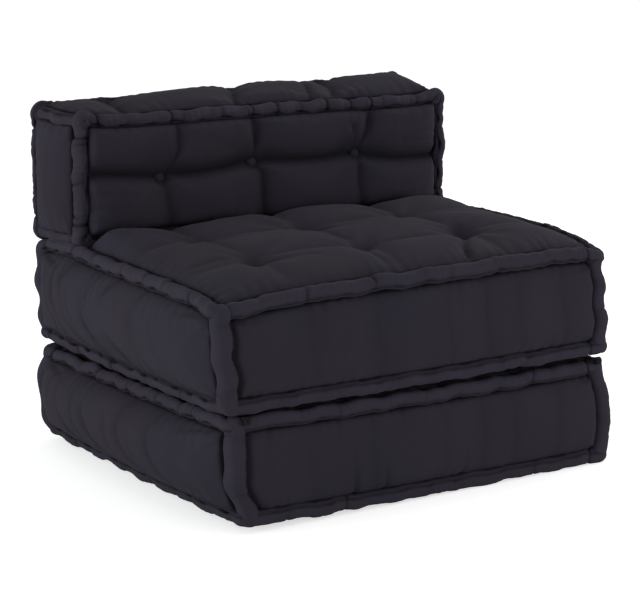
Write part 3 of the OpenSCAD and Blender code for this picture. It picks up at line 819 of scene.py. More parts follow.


# %% [markdown]
# Creases look dark in any light, for little of it gets in, and here that shade is painted into the
# cloth's colour. A shader node could look for them, but the lines that made the creases already
# say where they are. So each point of a cover gets a painted shade by how far it is from the
# nearest roll and from the creases.

# %% Painted shade
# How wide and how dark the painted shade is beside the rolls, round the buttons, in the folds and in
# the creases
GROOVE_WIDTH = 3.2 * MM   # of the dark line beside a roll
BUTTON_SHADE = 19 * MM    # of the dark patch round a button
DARKEST = 0.85        # of 1, in a crease
BUTTON_DARKEST = 0.9
FOLD_DARKEST = 0.45
LONG_SHADE = 0.75     # the share of the long crease's width that is dark
FACE_SHADE = (20, 0.7)    # for other creases: the depth in mm that counts as full, and the
TOP_SHADE = (1, 0.6)      # share of the width that is dark
SEAT_SHADE = (18, 0.5)
FACE_EDGE = 5 * MM
FACE_DEPTH = 0.6      # points further out than this share of the half depth are on a face


def crease_shade(x, y, creases, full, narrow):
    """How dark the darkest crease makes each point: min(darkest, depth / full) times
    exp(-d / (narrow width)), with depth and full in mm."""
    shade = np.zeros(len(x))
    for depth, width, points in creases:
        d = crease_distance(x, y, points)
        shade = np.maximum(shade, min(DARKEST, depth / full) * np.exp(-d / (narrow * width * MM)))
    return shade


def cover_painted_light(cushion, own):
    """The painted light of each point: 0, full painted shade, at a roll's flank or in a crease,
    and 1 in the open, rising as 1 - exp(-(d / width)^2).
    """
    outside = np.abs(own) - cushion.half
    unshaded = np.ones(len(own))
    for k in range(3):
        u, v = (k + 1) % 3, (k + 2) % 3
        d = np.hypot(outside[:, u], outside[:, v]) - cushion.slim
        unshaded = np.minimum(unshaded, 1 - bump_at(np.maximum(d, 0), GROOVE_WIDTH))
    x, y, z = own.T
    # painted shade in the back's long crease, round its buttons and in its other creases
    if cushion is back:
        height, width = over_crease(x, y)
        dark = DARKEST * np.exp(-np.abs(height) / (LONG_SHADE * width))
        near = button_distance(x, np.where(height < 0, y + height, y))
        dark = np.maximum(dark, BUTTON_DARKEST * bump_at(near, BUTTON_SHADE))
        dark = np.maximum(dark, crease_shade(x, y, CREASES, *FACE_SHADE))
        within = (np.abs(own[:, :2]) < back.half[:2] - FACE_EDGE).all(1)
        on_face = within & (np.abs(z) > FACE_DEPTH * back.half[2])
        unshaded = np.minimum(unshaded, np.where(on_face, 1 - dark, 1))
        dark = crease_shade(x, z, TOP_CREASES, *TOP_SHADE)
        unshaded = np.minimum(unshaded, np.where(y > back.half[1], 1 - dark, 1))
    if cushion is seat:
        dark = crease_shade(x, y, SEAT_CREASES, *SEAT_SHADE)
        unshaded = np.minimum(unshaded, np.where(z > seat.half[2], 1 - dark, 1))
    return unshaded


# %% [markdown]
# Each cover now goes through all of these steps. What is pinned differs: faces that rest on
# something, a small disc at each tuft, and the back's deepest creases.

# %% Covers
PIN_REACH = 0.55 * CELL    # threads this near a deep crease are pinned
DEEP_CREASES = 3           # and this many of a face's creases are deep


def near_creases(x, y, creases):
    """Which points lie on one of the creases."""
    near = np.zeros(len(x), bool)
    for _, _, points in creases:
        near |= crease_distance(x, y, points) < PIN_REACH
    return near


def make_cover(cushion, name, heights, rises, levels, pinned_faces, tufts, spare, seed):
    """A finished cover: cut, pinned, blown up, subdivided, puckered, gathered and settled."""
    share, cut, quads, pinned = cut_cover(cushion, heights, rises, levels)
    for axis, end, where in pinned_faces:
        pinned |= (share[:, axis] == end) & where(cut)
    for face, x, y, size in tufts:
        pinned |= (share[:, 2] == face) & (np.hypot(cut[:, 0] - x, cut[:, 1] - y) < size)
    if cushion is back:
        x, y, z = cut.T
        deep = [(0, 0, LONG_CREASE)] + CREASES[:DEEP_CREASES]
        pinned |= (np.abs(share[:, 2]) == 1) & near_creases(x, y, deep)
        pinned |= (share[:, 1] == 1) & near_creases(x, z, TOP_CREASES[:DEEP_CREASES])
    draft = make_piece(name, cut, quads)
    cut = inflate(draft, pinned, spare)
    bpy.data.objects.remove(draft)
    points, quads = fine_mesh(name, cut, quads)
    points = points + puckers(cushion, points, seed)
    # painted shade beside the rolls and in the creases, kept for each point
    painted_light = cover_painted_light(cushion, points)
    front = 0
    if cushion is not back:
        points, front, folds = gathers(cushion, points, seed + 60)
        # the folds add painted shade
        painted_light *= 1 - FOLD_DARKEST * folds
    points = settle(cushion, points)
    points[:, 1] += front
    piece = make_piece(name, cushion.world(points), quads)
    set_painted_light(piece, painted_light)
    print(name, "has", len(piece.data.polygons), "faces")
    return piece


FOOT_MARGIN = 2 * MM
SIDE_BULGE = 14 * MM
FRONT_BULGE = 1 * MM
END_BULGE = 5 * MM
TUFT_SIZE = 7 * MM
MATTRESS_RISES = (15 * MM, 7 * MM, 17 * MM)    # along x, y and z, as are the next ones
MATTRESS_LEVELS = (0, 0, 9 * MM)
MATTRESS_SPARE = (0.025, 0.05, 0.03)
BACK_RISES = (12 * MM, 12 * MM, 13 * MM)
BACK_LEVELS = (4 * MM, 7 * MM, 2 * MM)
BACK_SPARE = (0.05, 0.07, 0.04)


def everywhere(cut):
    """The whole face."""
    return np.ones(len(cut), bool)


def under_back(cut):
    """The part of the seat's top that the back cushion stands on."""
    return cut[:, 1] > back_foot - FOOT_MARGIN


def mattress_faces(cushion, top):
    """The face heights of a lying cushion."""
    side, ends = bulged(cushion, 1, SIDE_BULGE), bulged(cushion, 0, SIDE_BULGE)
    return {(0, -1): side, (0, 1): side, (1, -1): bulged(cushion, 0, FRONT_BULGE), (1, 1): ends,
            (2, -1): flat(cushion), (2, 1): top}


seat_tufts = [(1, x, y, TUFT_SIZE) for x in columns for y in rows]
seat_cover = make_cover(seat, "seat_cover", mattress_faces(seat, seat_face),
                        MATTRESS_RISES, MATTRESS_LEVELS,
                        [(2, -1, everywhere), (2, 1, under_back)], seat_tufts, MATTRESS_SPARE, 11)
base_cover = make_cover(base, "base_cover", mattress_faces(base, flat(base)),
                        MATTRESS_RISES, MATTRESS_LEVELS,
                        [(2, -1, everywhere), (2, 1, everywhere)], [], MATTRESS_SPARE, 29)
back_heights = {(0, -1): bulged(back, 1, END_BULGE), (0, 1): bulged(back, 1, END_BULGE),
                (1, -1): flat(back), (1, 1): back_top, (2, -1): back_face, (2, 1): back_face}
back_tufts = [(face, x, y, button_r) for face in (-1, 1) for x, y in BUTTONS]
back_cover = make_cover(back, "back_cover", back_heights, BACK_RISES, BACK_LEVELS,
                        [(1, -1, everywhere)], back_tufts, BACK_SPARE, 47)

# %% [markdown]
# ## The rolled edges
#
# A rolled edge is a strip of the cover folded round a handful of wadding and stitched through,
# over and over, all the way round. It is a tube along a closed path, but not an even one: each
# stitch pinches it, between two pinches it swells, and thread marks dot the seams on both sides.
# Its dents, stitch marks and seams are darkened with painted shade, and its swells are painted
# paler.
# A curve with a round bevel would give a plain hose. A grid over length and angle lets the radius
# change with both.

# %% Roll path
RING_STEP = 2.6 * MM
AROUND = 40           # points round a roll
CORNER_POINTS = 13


def ring_path(half_x, half_y):
    """A rectangle with round corners, as points, outward directions and lengths along it."""
    quarter = np.linspace(0, math.pi / 2, CORNER_POINTS)
    angle = np.concatenate([quarter + k * math.pi / 2 for k in range(4)])
    sign_x = np.repeat([1, -1, -1, 1], len(quarter))
    sign_y = np.repeat([1, 1, -1, -1], len(quarter))
    x = sign_x * (half_x - BEND) + BEND * np.cos(angle)
    y = sign_y * (half_y - BEND) + BEND * np.sin(angle)
    x, y, angle = np.append(x, x[0]), np.append(y, y[0]), np.append(angle, 2 * math.pi)
    along = np.concatenate([[0], np.cumsum(np.hypot(np.diff(x), np.diff(y)))])
    length = along[-1]
    s = np.arange(0, length, length / round(length / RING_STEP))
    turned = np.interp(s, along, angle)
    path = np.column_stack([np.interp(s, along, x), np.interp(s, along, y), 0 * s])
    out = np.column_stack([np.cos(turned), np.sin(turned), 0 * s])
    return path, out, s, length


# %% Roll surface
PINCH_SPACING = (38 * MM, 125 * MM)
PINCH_DEPTH = (1.0 * MM, 3.5 * MM)
PINCH_WIDTH = (1.3 * MM, 2.4 * MM)
PINCH_SLANT = 5 * MM
PINCH_FACING = (-0.8, 2.4)    # the angles where a pinch may be deepest
PINCH_ROUND = (0.35, 0.65)    # its share at right angles to that, and how much more it has there
BROAD_PINCH = 0.13        # the share of a pinch that goes all round
BROADER = 4               # and how many times as wide that is
CALM_KEEPS = 0.3          # the share of the pinches that stay where a roll is smooth
CALM_FADES = 0.85         # and how much of the others goes
KNOT_DEPTH = 3.2 * MM
KNOT_WIDTH = 2.6 * MM
SWELL = 0.5 * MM
SWELL_POWER = 0.6
EDGE_WANDER = 1.9 * MM
SCALLOP = 0.8 * MM
STITCH_PITCH = 50 * MM
STITCH_DEPTH = 9 * MM
STITCH_SIZE = 9.5 * MM    # along the roll
STITCH_WIDTH = 3.3 * MM   # and round it
# how dark the painted shade in a stitch's dent is
STITCH_SHADE = 0.8
STITCH_SHIFT = 5 * MM
STITCH_TURNS = (9, 25)
STITCH_STRENGTH = (0.25, 1)
CALM_STITCHES = 0.8       # how much weaker they are where a roll is smooth
PLEAT_PITCH = 12 * MM
PLEAT_HEIGHT = 0.45 * MM
PLEAT_PATCH = (0.5, 0.8)    # the mean of their patches along the roll, and how much these vary
PLEAT_TURNS = (11, 31)
PLEAT_ROUND = (0.7, 0.3)    # the same round it
PLEAT_FACING = 0.6        # radians
CALM_PLEATS = 0.5
SEAM_ANGLES = (math.radians(126), math.radians(-38))
# painted shade along the seams, where a roll meets the faces
SEAM_SHADE = 0.6
SEAM_WIDTH = 0.26         # radians
THREAD_LINES = (math.radians(88), math.radians(105))
THREAD_SWAY = 0.09        # radians
THREAD_TURNS = (20, 50)
THREAD_DEPTH = 0.9 * MM
THREAD_WIDTH = 1.1 * MM
RELIEF_SHADE = 5 * MM     # the depth over which a dent's painted shade darkens it by its whole tone
# the painted light of a roll's surface at its mean depth, and the least it may have
MEAN_PAINTED_LIGHT = 0.85
LEAST_PAINTED_LIGHT = 0.05
EAR = 6 * MM
KNOT_PLACE = 26 * MM


def pinch_places(length, draw):
    """Uneven places along a loop, where the thread is pulled tight."""
    steps = draw.uniform(*PINCH_SPACING, int(length / PINCH_SPACING[0]))
    places = np.cumsum(steps)
    return places[places < length - PINCH_SPACING[0]]


def loop_gap(a, b, length):
    """Signed distance from b to a, the short way round a loop."""
    return (a - b + length / 2) % length - length / 2


def roll_relief(s, theta, length, seed, radius, knots=(), calm=0):
    """How far a roll's surface stands out from its plain radius, at each length s and angle
    theta: a swell between pinches, less the pinches, the stitch marks, the pleats and the fine
    lines of thread. knots are places that are drawn in all round, and calm is 1 where the roll
    is smooth and most pinches are faint. It also gives each point's painted light: painted shade
    in the dents, at the stitch marks and along the seams, and a paler tone on the swells."""
    draw = np.random.default_rng(seed)
    places = pinch_places(length, draw)
    depth = draw.uniform(*PINCH_DEPTH, len(places))
    width = draw.uniform(*PINCH_WIDTH, len(places))
    slant = draw.uniform(-PINCH_SLANT, PINCH_SLANT, len(places))
    facing = draw.uniform(*PINCH_FACING, len(places))
    quiet = np.interp(places, s, calm + 0 * s)
    stays = draw.uniform(0, 1, len(places)) < CALM_KEEPS
    depth *= 1 - quiet * np.where(stays, 0, CALM_FADES)
    order = np.searchsorted(places, s) % len(places)
    before, after = places[order - 1], places[order]
    gap = (after - before) % length
    share = ((s - before) % length) / gap
    swell = SWELL * np.sin(math.pi * share) ** SWELL_POWER
    grid_s, grid_t = s[:, None, None], theta[None, :, None]
    away = loop_gap(grid_s, places + slant * np.sin(grid_t - facing), length)
    open_side = np.clip(PINCH_ROUND[0] + PINCH_ROUND[1] * np.cos(grid_t - facing), 0, 1)
    relief = swell[:, None] - (depth * open_side * bump_at(away, width)).max(-1)
    relief -= (BROAD_PINCH * depth * bump_at(away, BROADER * width)).max(-1)
    for knot in knots:
        relief -= KNOT_DEPTH * bump_at(loop_gap(s, knot, length), KNOT_WIDTH)[:, None]
    uneven = s + STITCH_SHIFT * wander(s, length, STITCH_TURNS, seed + 1)
    stitch = np.floor(uneven / STITCH_PITCH + 0.5).astype(int)
    strength = draw.uniform(*STITCH_STRENGTH, (2, stitch.max() + 1))
    patch = np.clip(PLEAT_PATCH[0] + PLEAT_PATCH[1] * wander(s, length, PLEAT_TURNS, seed + 2),
                    0, 1) * (1 - CALM_PLEATS * calm)
    pleat = np.sin(2 * math.pi * uneven / PLEAT_PITCH) * patch
    relief += PLEAT_HEIGHT * np.outer(
        pleat, PLEAT_ROUND[0] + PLEAT_ROUND[1] * np.cos(theta - PLEAT_FACING))
    to_stitch = bump_at((uneven / STITCH_PITCH + 0.5) % 1 * STITCH_PITCH - STITCH_PITCH / 2,
                        STITCH_SIZE)
    shade = np.ones_like(relief)
    for number, seam in enumerate(SEAM_ANGLES):
        off = bump_at(loop_gap(theta, seam, 2 * math.pi) * radius, STITCH_WIDTH)
        tight = strength[number][stitch] * (1 - CALM_STITCHES * calm)
        dent = np.outer(to_stitch * tight, off)
        relief -= STITCH_DEPTH * dent
        shade *= 1 - STITCH_SHADE * dent
    for number, line in enumerate(THREAD_LINES):
        path = line + THREAD_SWAY * wander(s, length, THREAD_TURNS, seed + 8 + number)
        off = loop_gap(theta[None, :], path[:, None], 2 * math.pi) * radius
        relief -= THREAD_DEPTH * bump_at(off, THREAD_WIDTH)
    # painted light: darker in dents, at stitches and along the seams, paler on the swells
    painted_light = shade * np.clip(MEAN_PAINTED_LIGHT + (relief - relief.mean()) / RELIEF_SHADE, LEAST_PAINTED_LIGHT, 1)
    for seam in SEAM_ANGLES:
        painted_light *= 1 - SEAM_SHADE * bump_at(loop_gap(theta, seam, 2 * math.pi), SEAM_WIDTH)
    return relief, painted_light


SIDE_SLIMNESS = {"base": 0.1, "seat": 0.0, "back": 0.0}    # how much thinner at the sides
OUTER_SHARE = 0.75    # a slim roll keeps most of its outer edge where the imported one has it
UPPER_SHARE = 0.3     # but lies close to the border that it is sewn to
EDGE_WANDER_UP = 0.8  # a roll wanders this much less up and down
BACK_SLIMMER = 0.16   # the back's rolls get thinner towards the right
CORNER_SLIMMER = 0.06
THICKNESS_SHARE = 0.05    # a roll's thickness varies by this
OUT_TURNS = (16, 44)      # how often a roll wanders out and in on its way round
UP_TURNS = (14, 40)       # and up and down
SCALLOP_TURNS = (60, 110)
THICK_TURNS = (8, 22)
BACK_CALM = 0.2       # the back's rolls are smooth by this share all round
SMOOTH_BAND = (0.9, 0.1)    # where the front of a mattress's roll gets smooth, and over how much


def make_roll(cushion, name, end, seed, drawn=()):
    """A closed roll round the face at one end of a cushion's z axis. drawn are places in x where
    a crease runs on over the roll's upper side and draws it in."""
    path, out, s, length = ring_path(*cushion.half[:2])
    theta = np.linspace(0, 2 * math.pi, AROUND, endpoint=False)
    up = np.array([0, 0, end])
    corner = np.abs(out[:, 0] * out[:, 1]) * 2
    tips = s[np.flatnonzero((corner > 0.99) & (np.roll(corner, 1) <= 0.99))]
    knots = [tip + side * KNOT_PLACE for tip in tips for side in (-1, 1)]
    knots += [s[np.argmin(np.abs(path[:, 0] - x) + (path[:, 1] < 0))] for x in drawn]
    sway_out = EDGE_WANDER * wander(s, length, OUT_TURNS, seed + 3) + EAR * corner
    sway_up = EDGE_WANDER_UP * EDGE_WANDER * wander(s, length, UP_TURNS, seed + 4)
    sway_up = sway_up + SCALLOP * wander(s, length, SCALLOP_TURNS, seed + 5)
    thick = cushion.slim * (1 - SIDE_SLIMNESS[cushion.body] * out[:, 0] ** 2)
    if cushion is back:
        thick = thick * (1 - BACK_SLIMMER * np.clip(path[:, 0] / cushion.half[0], 0, 1))
    slack = cushion.roll - thick
    centre = path + out * (sway_out + OUTER_SHARE * slack)[:, None]
    share = OUTER_SHARE if cushion is back else UPPER_SHARE
    centre[:, 2] += end * (cushion.half[2] + sway_up + share * slack)
    smooth_front = np.clip((-path[:, 1] / cushion.half[1] - SMOOTH_BAND[0]) / SMOOTH_BAND[1], 0, 1)
    calm = smooth_front if cushion is not back else BACK_CALM
    relief, painted_light = roll_relief(s, theta, length, seed, cushion.slim, knots, calm)
    radius = thick[:, None] + relief
    radius *= (1 + THICKNESS_SHARE * wander(s, length, THICK_TURNS, seed + 6)
               - CORNER_SLIMMER * corner)[:, None]
    ring = np.cos(theta)[:, None] * out[:, None, :] + np.sin(theta)[:, None] * up
    points = (centre[:, None, :] + radius[..., None] * ring).reshape(-1, 3)
    points = settle(cushion, points)
    if end < 0:
        points[:, 2] = np.maximum(points[:, 2], -(cushion.half[2] + cushion.roll))
    quads = grid_quads(len(s), AROUND, True)
    piece = make_piece(name, cushion.world(points), quads[:, ::end])
    set_painted_light(piece, painted_light)
    return piece


# %% Rolls
DRAWN_IN = np.array([-187, -28, 22, 122, 171, 214]) * MM    # where creases cross the back's roll
rolls = {}
for cushion, near, far, seed in ((base, "base_top_roll", "base_bottom_roll", 101),
                                 (seat, "seat_top_roll", "seat_bottom_roll", 202),
                                 (back, "back_front_roll", "back_rear_roll", 303)):
    rolls[near] = make_roll(cushion, near + "_cloth", 1, seed, DRAWN_IN if cushion is back else ())
    rolls[far] = make_roll(cushion, far + "_cloth", -1, seed + 50)
print("rolls with", [len(roll.data.polygons) for roll in rolls.values()], "faces")

# %% [markdown]
# The upright rolls at the corners join the two rings. They are short tubes with round ends,
# which lie over the rings. None of them reaches under the floor. They could end inside the rings,
# but on a sewn corner the upright seam is lapped over the flat ones.

# %% Corner rolls
UPRIGHT_CALM = 0.6
TIP = 0.02    # the least share of its radius that a tube keeps at its end


def make_corner_rolls(cushion, name, seed):
    """Four capsules, one at each corner, with the same pinches as the rings."""
    height = 2 * (cushion.half[2] + UPRIGHT_END)
    s = np.linspace(0, height, int(height / RING_STEP))
    theta = np.linspace(0, 2 * math.pi, AROUND, endpoint=False)
    pieces, quads, painted_lights = [], [], []
    for number in range(len(CORNERS)):
        relief, painted_light = roll_relief(s, theta, 2 * height, seed + 10 * number, cushion.slim,
                                   calm=UPRIGHT_CALM)
        painted_lights.append(painted_light)
        to_end = np.clip(np.minimum(s, s[-1] - s) / UPRIGHT_R[cushion.body], 0, 1)
        cap = np.sqrt(1 - (1 - to_end) ** 2)
        radius = (UPRIGHT_R[cushion.body] + relief) * np.maximum(cap, TIP)[:, None]
        x, y = upright_line(cushion, number, s - height / 2)
        points = np.zeros((len(s), AROUND, 3))
        points[..., 0] = x[:, None] + radius * np.cos(theta)
        points[..., 1] = y[:, None] + radius * np.sin(theta)
        points[..., 2] = (s - height / 2)[:, None]
        quads.append(grid_quads(len(s), AROUND, False, number * len(s) * AROUND)[:, ::-1])
        pieces.append(points.reshape(-1, 3))
    points = settle(cushion, np.concatenate(pieces))
    points[:, 2] = np.maximum(points[:, 2], -(cushion.half[2] + cushion.roll))
    piece = make_piece(name, cushion.world(points), np.concatenate(quads))
    set_painted_light(piece, np.concatenate(painted_lights))
    return piece


corner_rolls = {c.body: make_corner_rolls(c, c.body + "_corner_roll_cloth",
                                          UPRIGHT_SEEDS[c.body]) for c in (base, seat, back)}
print("corner rolls with", [len(roll.data.polygons) for roll in corner_rolls.values()], "faces")

# %% [markdown]
# ## Buttons
#
# Each button is a small domed disc covered in the same cotton, pulled into the back's front. A
# squashed sphere would come close, but a covered button has a low dome and a turned-in rim, so it
# is a profile turned about its own axis.

# %% Buttons
BUTTON_PROFILE = [(0.0, 1.0), (0.35, 0.96), (0.68, 0.8), (0.9, 0.5), (1.0, 0.15), (0.96, -0.15),
                  (0.7, -0.4), (0.0, -0.45)]
BUTTON_RINGS = 25
BUTTON_SIDES = 32
BUTTON_PLEATS = 9
PLEAT_SHARE = 0.025
BUTTON_HEIGHT = 7 * MM
BUTTON_PROUD = 4 * MM     # how far a button's middle stands out of its dent


def make_buttons(name, places, radius, height):
    """Domed buttons whose axes point to the front: each a profile of (radius, height) shares,
    smoothed and turned once round."""
    profile = np.array(BUTTON_PROFILE)
    fine = np.linspace(0, len(profile) - 1, BUTTON_RINGS)
    r = np.interp(fine, range(len(profile)), profile[:, 0]) * radius
    h = np.interp(fine, range(len(profile)), profile[:, 1]) * height
    theta = np.linspace(0, 2 * math.pi, BUTTON_SIDES, endpoint=False)
    points, quads = [], []
    for number, place in enumerate(places):
        pleat = 1 + PLEAT_SHARE * np.sin(BUTTON_PLEATS * theta + number)
        ring = np.stack([np.outer(r, np.cos(theta) * pleat),
                         -np.repeat(h[:, None], BUTTON_SIDES, 1),
                         np.outer(r, np.sin(theta) * pleat)], -1)
        points.append((ring + place).reshape(-1, 3))
        quads.append(grid_quads(len(r), BUTTON_SIDES, False, number * len(r) * BUTTON_SIDES))
    return make_piece(name, np.concatenate(points), np.concatenate(quads))


button_depth = back.half[2] + back.roll + BACK_CROWN - BUTTON_DENT + BUTTON_PROUD
button_own = np.column_stack([BUTTONS, np.full(len(BUTTONS), button_depth)])
buttons = make_buttons("back_button_caps", back.world(settle(back, button_own)), button_r,
                       BUTTON_HEIGHT)
print("middle of the packed buttons", button_middle.round(4), "and of these",
      back.world(button_own)[1].round(4))

# %% [markdown]
# ## Shader maths in plain Python
#
# A finish is a sum of patterns, and its nodes could be placed by hand in the shader editor. A
# formula is easier to read and to change. So a small class wraps a socket, and an expression such
# as 1 - mask * 0.3 adds the Math nodes it needs. Any other node comes from one method that sets
# its options and then its sockets.

# %% Shader helpers
class Value:
    """A number that varies over a surface. Arithmetic on it adds Math nodes."""

    def __init__(self, paint, socket):
        self.paint, self.socket = paint, socket

    def math(self, operation, a, b=None):
        """A Math node on one or two numbers."""
        sockets = {0: a} if b is None else {0: a, 1: b}
        return self.paint.node("ShaderNodeMath", {"operation": operation}, sockets)

    def __add__(self, other):
        return self.math("ADD", self, other)

    def __sub__(self, other):
        return self.math("SUBTRACT", self, other)

    def __rsub__(self, other):
        return self.math("SUBTRACT", other, self)

    def __mul__(self, other):
        return self.math("MULTIPLY", self, other)

    __radd__, __rmul__ = __add__, __mul__


class Paint:
    """One material and its node tree."""

    def __init__(self, name):
        self.material = bpy.data.materials.new(name)
        self.material.use_nodes = True
        self.tree = self.material.node_tree
        self.shader = self.tree.nodes["Principled BSDF"]

    def node(self, kind, settings, sockets, output=0):
        """A new node's output, with its options set first and then its sockets."""
        made = self.tree.nodes.new(kind)
        for key, value in settings.items():
            setattr(made, key, value)
        for key, value in sockets.items():
            self.join(value, made.inputs[key])
        return Value(self, made.outputs[output])

    def noise(self, place, scale, detail):
        """A noise texture, with so many bumps to the metre and finer ones on them."""
        return self.node("ShaderNodeTexNoise", {},
                         {"Vector": place, "Scale": scale, "Detail": detail})

    def join(self, value, socket):
        """Links a Value to a socket, or sets the socket's own number or colour."""
        if isinstance(value, Value):
            self.tree.links.new(value.socket, socket)
        else:
            socket.default_value = value

    def set(self, **sockets):
        """Sets the shader's own sockets by name, with spaces written as underscores."""
        for key, value in sockets.items():
            self.join(value, self.shader.inputs[key.replace("_", " ")])


# %% [markdown]
# ## Dark cotton
#
# The cover is a plain-woven cotton, dyed a charcoal that leans to violet. Seen close it is a weave
# with slubs, and from further off the dye is a little uneven and paler in rubbed patches. Its
# colour is also darkened by the painted shade that each point keeps.
# A picture of cloth would have to be laid out over every puff. The weave here is a product of
# sine waves along the three axes, so it runs square on every face without one.

# %% Cotton
YARN_PITCH = 1.1 * MM
SHADED_TONE = 0.2    # how much of its tone the cloth keeps under the deepest painted shade
COOL, WARM = (0.965, 1.0, 1.02), (1.04, 0.985, 0.99)    # how the dye drifts over the cloth
SLUB, CLOUDY, FINE, DRIFT = (420, 3), (9, 4), (90, 2), (7, 3)    # scale and detail of a noise
WORN_MIX = (0.6, 0.25, 0.25)    # shares of the cloudy noise, the fine one and the slubs
WORN_RANGE = (1.8, 0.5)     # how steeply the noise turns plain into rubbed, and from where
DRIFT_RANGE = (3.0, 1.0)
BUMP_MIX = (0.3, 0.8, 0.6)    # shares of the weave, the slubs and the fine noise
BUMP_STRENGTH = 0.35
WEAVE_DEPTH = 0.4 * MM
COTTON_GLOSS = 0.08
COTTON_SHEEN = 0.02


def cotton(name, colour, rubbed, roughness=0.92, painted_shade=True):
    """A woven cotton: colour is its plain tone, rubbed the paler one of its worn places. Where
    the last argument is set, each point's painted light darkens it with painted shade.
    """
    paint = Paint(name)
    place = paint.node("ShaderNodeTexCoord", {}, {}, "Object")
    axes = paint.tree.nodes.new("ShaderNodeSeparateXYZ")
    paint.join(place, axes.inputs[0])
    wave = [paint.node("ShaderNodeMath", {"operation": "SINE"},
                       {0: Value(paint, axis) * (2 * math.pi / YARN_PITCH)})
            for axis in axes.outputs]
    weave = wave[0] * wave[1] + wave[1] * wave[2] + wave[2] * wave[0]
    slub = paint.noise(place, *SLUB)
    cloudy = paint.noise(place, *CLOUDY)
    fine = paint.noise(place, *FINE)
    worn = cloudy * WORN_MIX[0] + fine * WORN_MIX[1] + slub * WORN_MIX[2]
    tone = paint.node("ShaderNodeMix", {"data_type": "RGBA", "clamp_factor": True},
                      {0: worn * WORN_RANGE[0] - WORN_RANGE[1],
                       6: (*colour, 1), 7: (*rubbed, 1)}, 2)
    drift = paint.noise(place, *DRIFT)
    tint = paint.node("ShaderNodeMix", {"data_type": "RGBA", "clamp_factor": True},
                      {0: drift * DRIFT_RANGE[0] - DRIFT_RANGE[1],
                       6: (*COOL, 1), 7: (*WARM, 1)}, 2)
    tone = paint.node("ShaderNodeVectorMath", {"operation": "MULTIPLY"}, {0: tone, 1: tint})
    # painted shade: each point's painted light darkens the colour
    if painted_shade:
        painted_light = paint.node("ShaderNodeAttribute", {"attribute_name": "painted_light"}, {}, "Fac")
        kept = painted_light * (1 - SHADED_TONE) + SHADED_TONE
        tone = paint.node("ShaderNodeVectorMath", {"operation": "SCALE"}, {0: tone, 3: kept})
    height = weave * BUMP_MIX[0] + slub * BUMP_MIX[1] + fine * BUMP_MIX[2]
    bump = paint.node("ShaderNodeBump", {}, {"Strength": BUMP_STRENGTH, "Distance": WEAVE_DEPTH,
                                              "Height": height})
    paint.set(Base_Color=tone, Roughness=roughness, Normal=bump,
              Specular_IOR_Level=COTTON_GLOSS, Sheen_Weight=COTTON_SHEEN, Sheen_Roughness=0.5)
    return paint.material


panel_cotton = cotton("panel_cotton", (0.0252, 0.0217, 0.0312), (0.0335, 0.0287, 0.0398))
roll_cotton = cotton("roll_cotton", (0.0321, 0.0273, 0.0405), (0.0430, 0.0366, 0.0514))
twine = cotton("cotton_twine", (0.012, 0.011, 0.014), (0.022, 0.02, 0.025), 0.8, False)
button_cotton = cotton("button_cotton", (0.018, 0.016, 0.022), (0.026, 0.023, 0.03), 0.8, False)

# %% [markdown]
# Every piece gets its cotton, rides with its cushion and stands for the solids under it. The
# twine keeps its imported solids.


def dress(piece, material, slot, body, *nodes):
    """Gives a piece its finish, its body and the nodes that it stands for."""
    piece.data.materials.append(material)
    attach(piece, body)
    if nodes:
        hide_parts(*nodes)


def cover_nodes(name, faces, borders):
    """The nodes inside and on a cover."""
    return [name + "_filling"] + [f"{name}_{face}_panel" for face in faces] + [
        f"{name}_{side}_border" for side in borders]


mattress = (("top", "bottom"), ("front", "rear", "left", "right"))
standing = (("front", "rear"), ("top", "bottom", "left", "right"))
for cover, body, kind in ((seat_cover, "seat", mattress), (base_cover, "base", mattress),
                          (back_cover, "back", standing)):
    dress(cover, panel_cotton, "panel_cotton", body, *cover_nodes(body, *kind))
for node, roll in rolls.items():
    dress(roll, roll_cotton, "roll_cotton", node.split("_")[0], node)
for body, roll in corner_rolls.items():
    dress(roll, roll_cotton, "roll_cotton", body, body + "_corner_rolls")
dress(buttons, button_cotton, "button_cotton", "back", "back_buttons")
for node in ("base_tuft_ties", "seat_tuft_ties", "back_tuft_ties", "front_lashing", "back_lashing"):
    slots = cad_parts[node].material_slots
    if slots:
        slots[0].material = twine
print("dressed", 3 + len(rolls) + len(corner_rolls) + 1, "pieces")

# %% [markdown]
# ## Floor and light
#
# The sofa stands on a pale studio floor. For the camera the floor is lifted towards white, and
# its own shading keeps the soft shadow under the sofa. Three large soft lamps, at the left, in
# front and at the upper right, give the shape, and the pale surroundings fill the shadows. A
# picture of a room could light it as well, but each lamp can be moved on its own.

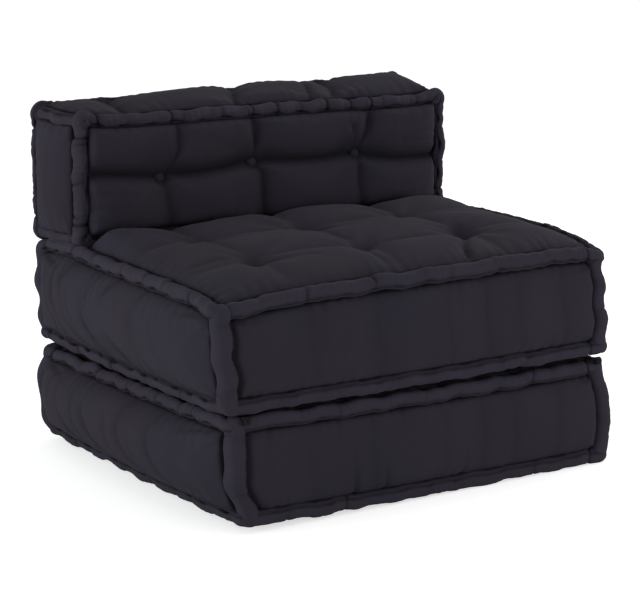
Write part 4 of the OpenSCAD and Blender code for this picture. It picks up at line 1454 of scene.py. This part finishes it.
# %% Floor
FLOOR_HALF = 30    # metres
FLOOR_LIFT = 0.62
floor = make_piece("floor", [(-FLOOR_HALF, -FLOOR_HALF, 0), (FLOOR_HALF, -FLOOR_HALF, 0),
                             (FLOOR_HALF, FLOOR_HALF, 0), (-FLOOR_HALF, FLOOR_HALF, 0)],
                   [(0, 1, 2, 3)])
paper = Paint("floor_paper")
lifted = paper.node("ShaderNodeLightPath", {}, {}, "Is Camera Ray")
paper.set(Base_Color=(0.88, 0.88, 0.88, 1), Roughness=0.9, Specular_IOR_Level=0.1,
          Emission_Color=(1, 1, 1, 1))
paper.join(lifted * FLOOR_LIFT, paper.shader.inputs["Emission Strength"])
floor.data.materials.append(paper.material)

# %% Lights
SURROUNDINGS = 0.5    # how bright they are, but white to the camera


def softbox(name, place, aim, size, watts, colour=(1, 1, 1)):
    """A square area lamp at a place, turned towards a point."""
    data = bpy.data.lights.new(name, "AREA")
    data.size, data.energy, data.color = size, watts, colour
    lamp = bpy.data.objects.new(name, data)
    bpy.context.scene.collection.objects.link(lamp)
    back_axis = np.array(place, float) - np.array(aim, float)
    back_axis /= np.linalg.norm(back_axis)
    side = np.cross([0, 0, 1], back_axis)
    side /= np.linalg.norm(side)
    matrix = np.eye(4)
    matrix[:3, :3] = np.column_stack([side, np.cross(back_axis, side), back_axis])
    matrix[:3, 3] = place
    lamp.matrix_world = Matrix(matrix.tolist())
    return lamp


softbox("left", (-3.2, 0.1, 0.55), (0, 0, 0.3), 1.8, 55, (0.92, 1, 0.99))
softbox("front", (2.2, -3.1, 0.25), (0, 0, 0.3), 1.8, 58, (0.97, 1, 1))
softbox("upper_right", (3.1, 0.4, 1.9), (0.1, 0, 0.3), 1.6, 42)

# The surroundings are one even colour, drawn plain white where the camera sees them.
world = bpy.data.worlds.new("studio")
bpy.context.scene.world = world
world.use_nodes = True
tree = world.node_tree
shade = tree.nodes["Background"]
shade.inputs["Color"].default_value = (1, 1, 1, 1)
shade.inputs["Strength"].default_value = SURROUNDINGS
plain = tree.nodes.new("ShaderNodeBackground")
plain.inputs["Strength"].default_value = 1
path = tree.nodes.new("ShaderNodeLightPath")
mix = tree.nodes.new("ShaderNodeMixShader")
tree.links.new(path.outputs["Is Camera Ray"], mix.inputs[0])
tree.links.new(shade.outputs[0], mix.inputs[1])
tree.links.new(plain.outputs[0], mix.inputs[2])
tree.links.new(mix.outputs[0], tree.nodes["World Output"].inputs[0])

# %% Colour
bpy.context.scene.view_settings.view_transform = "Standard"
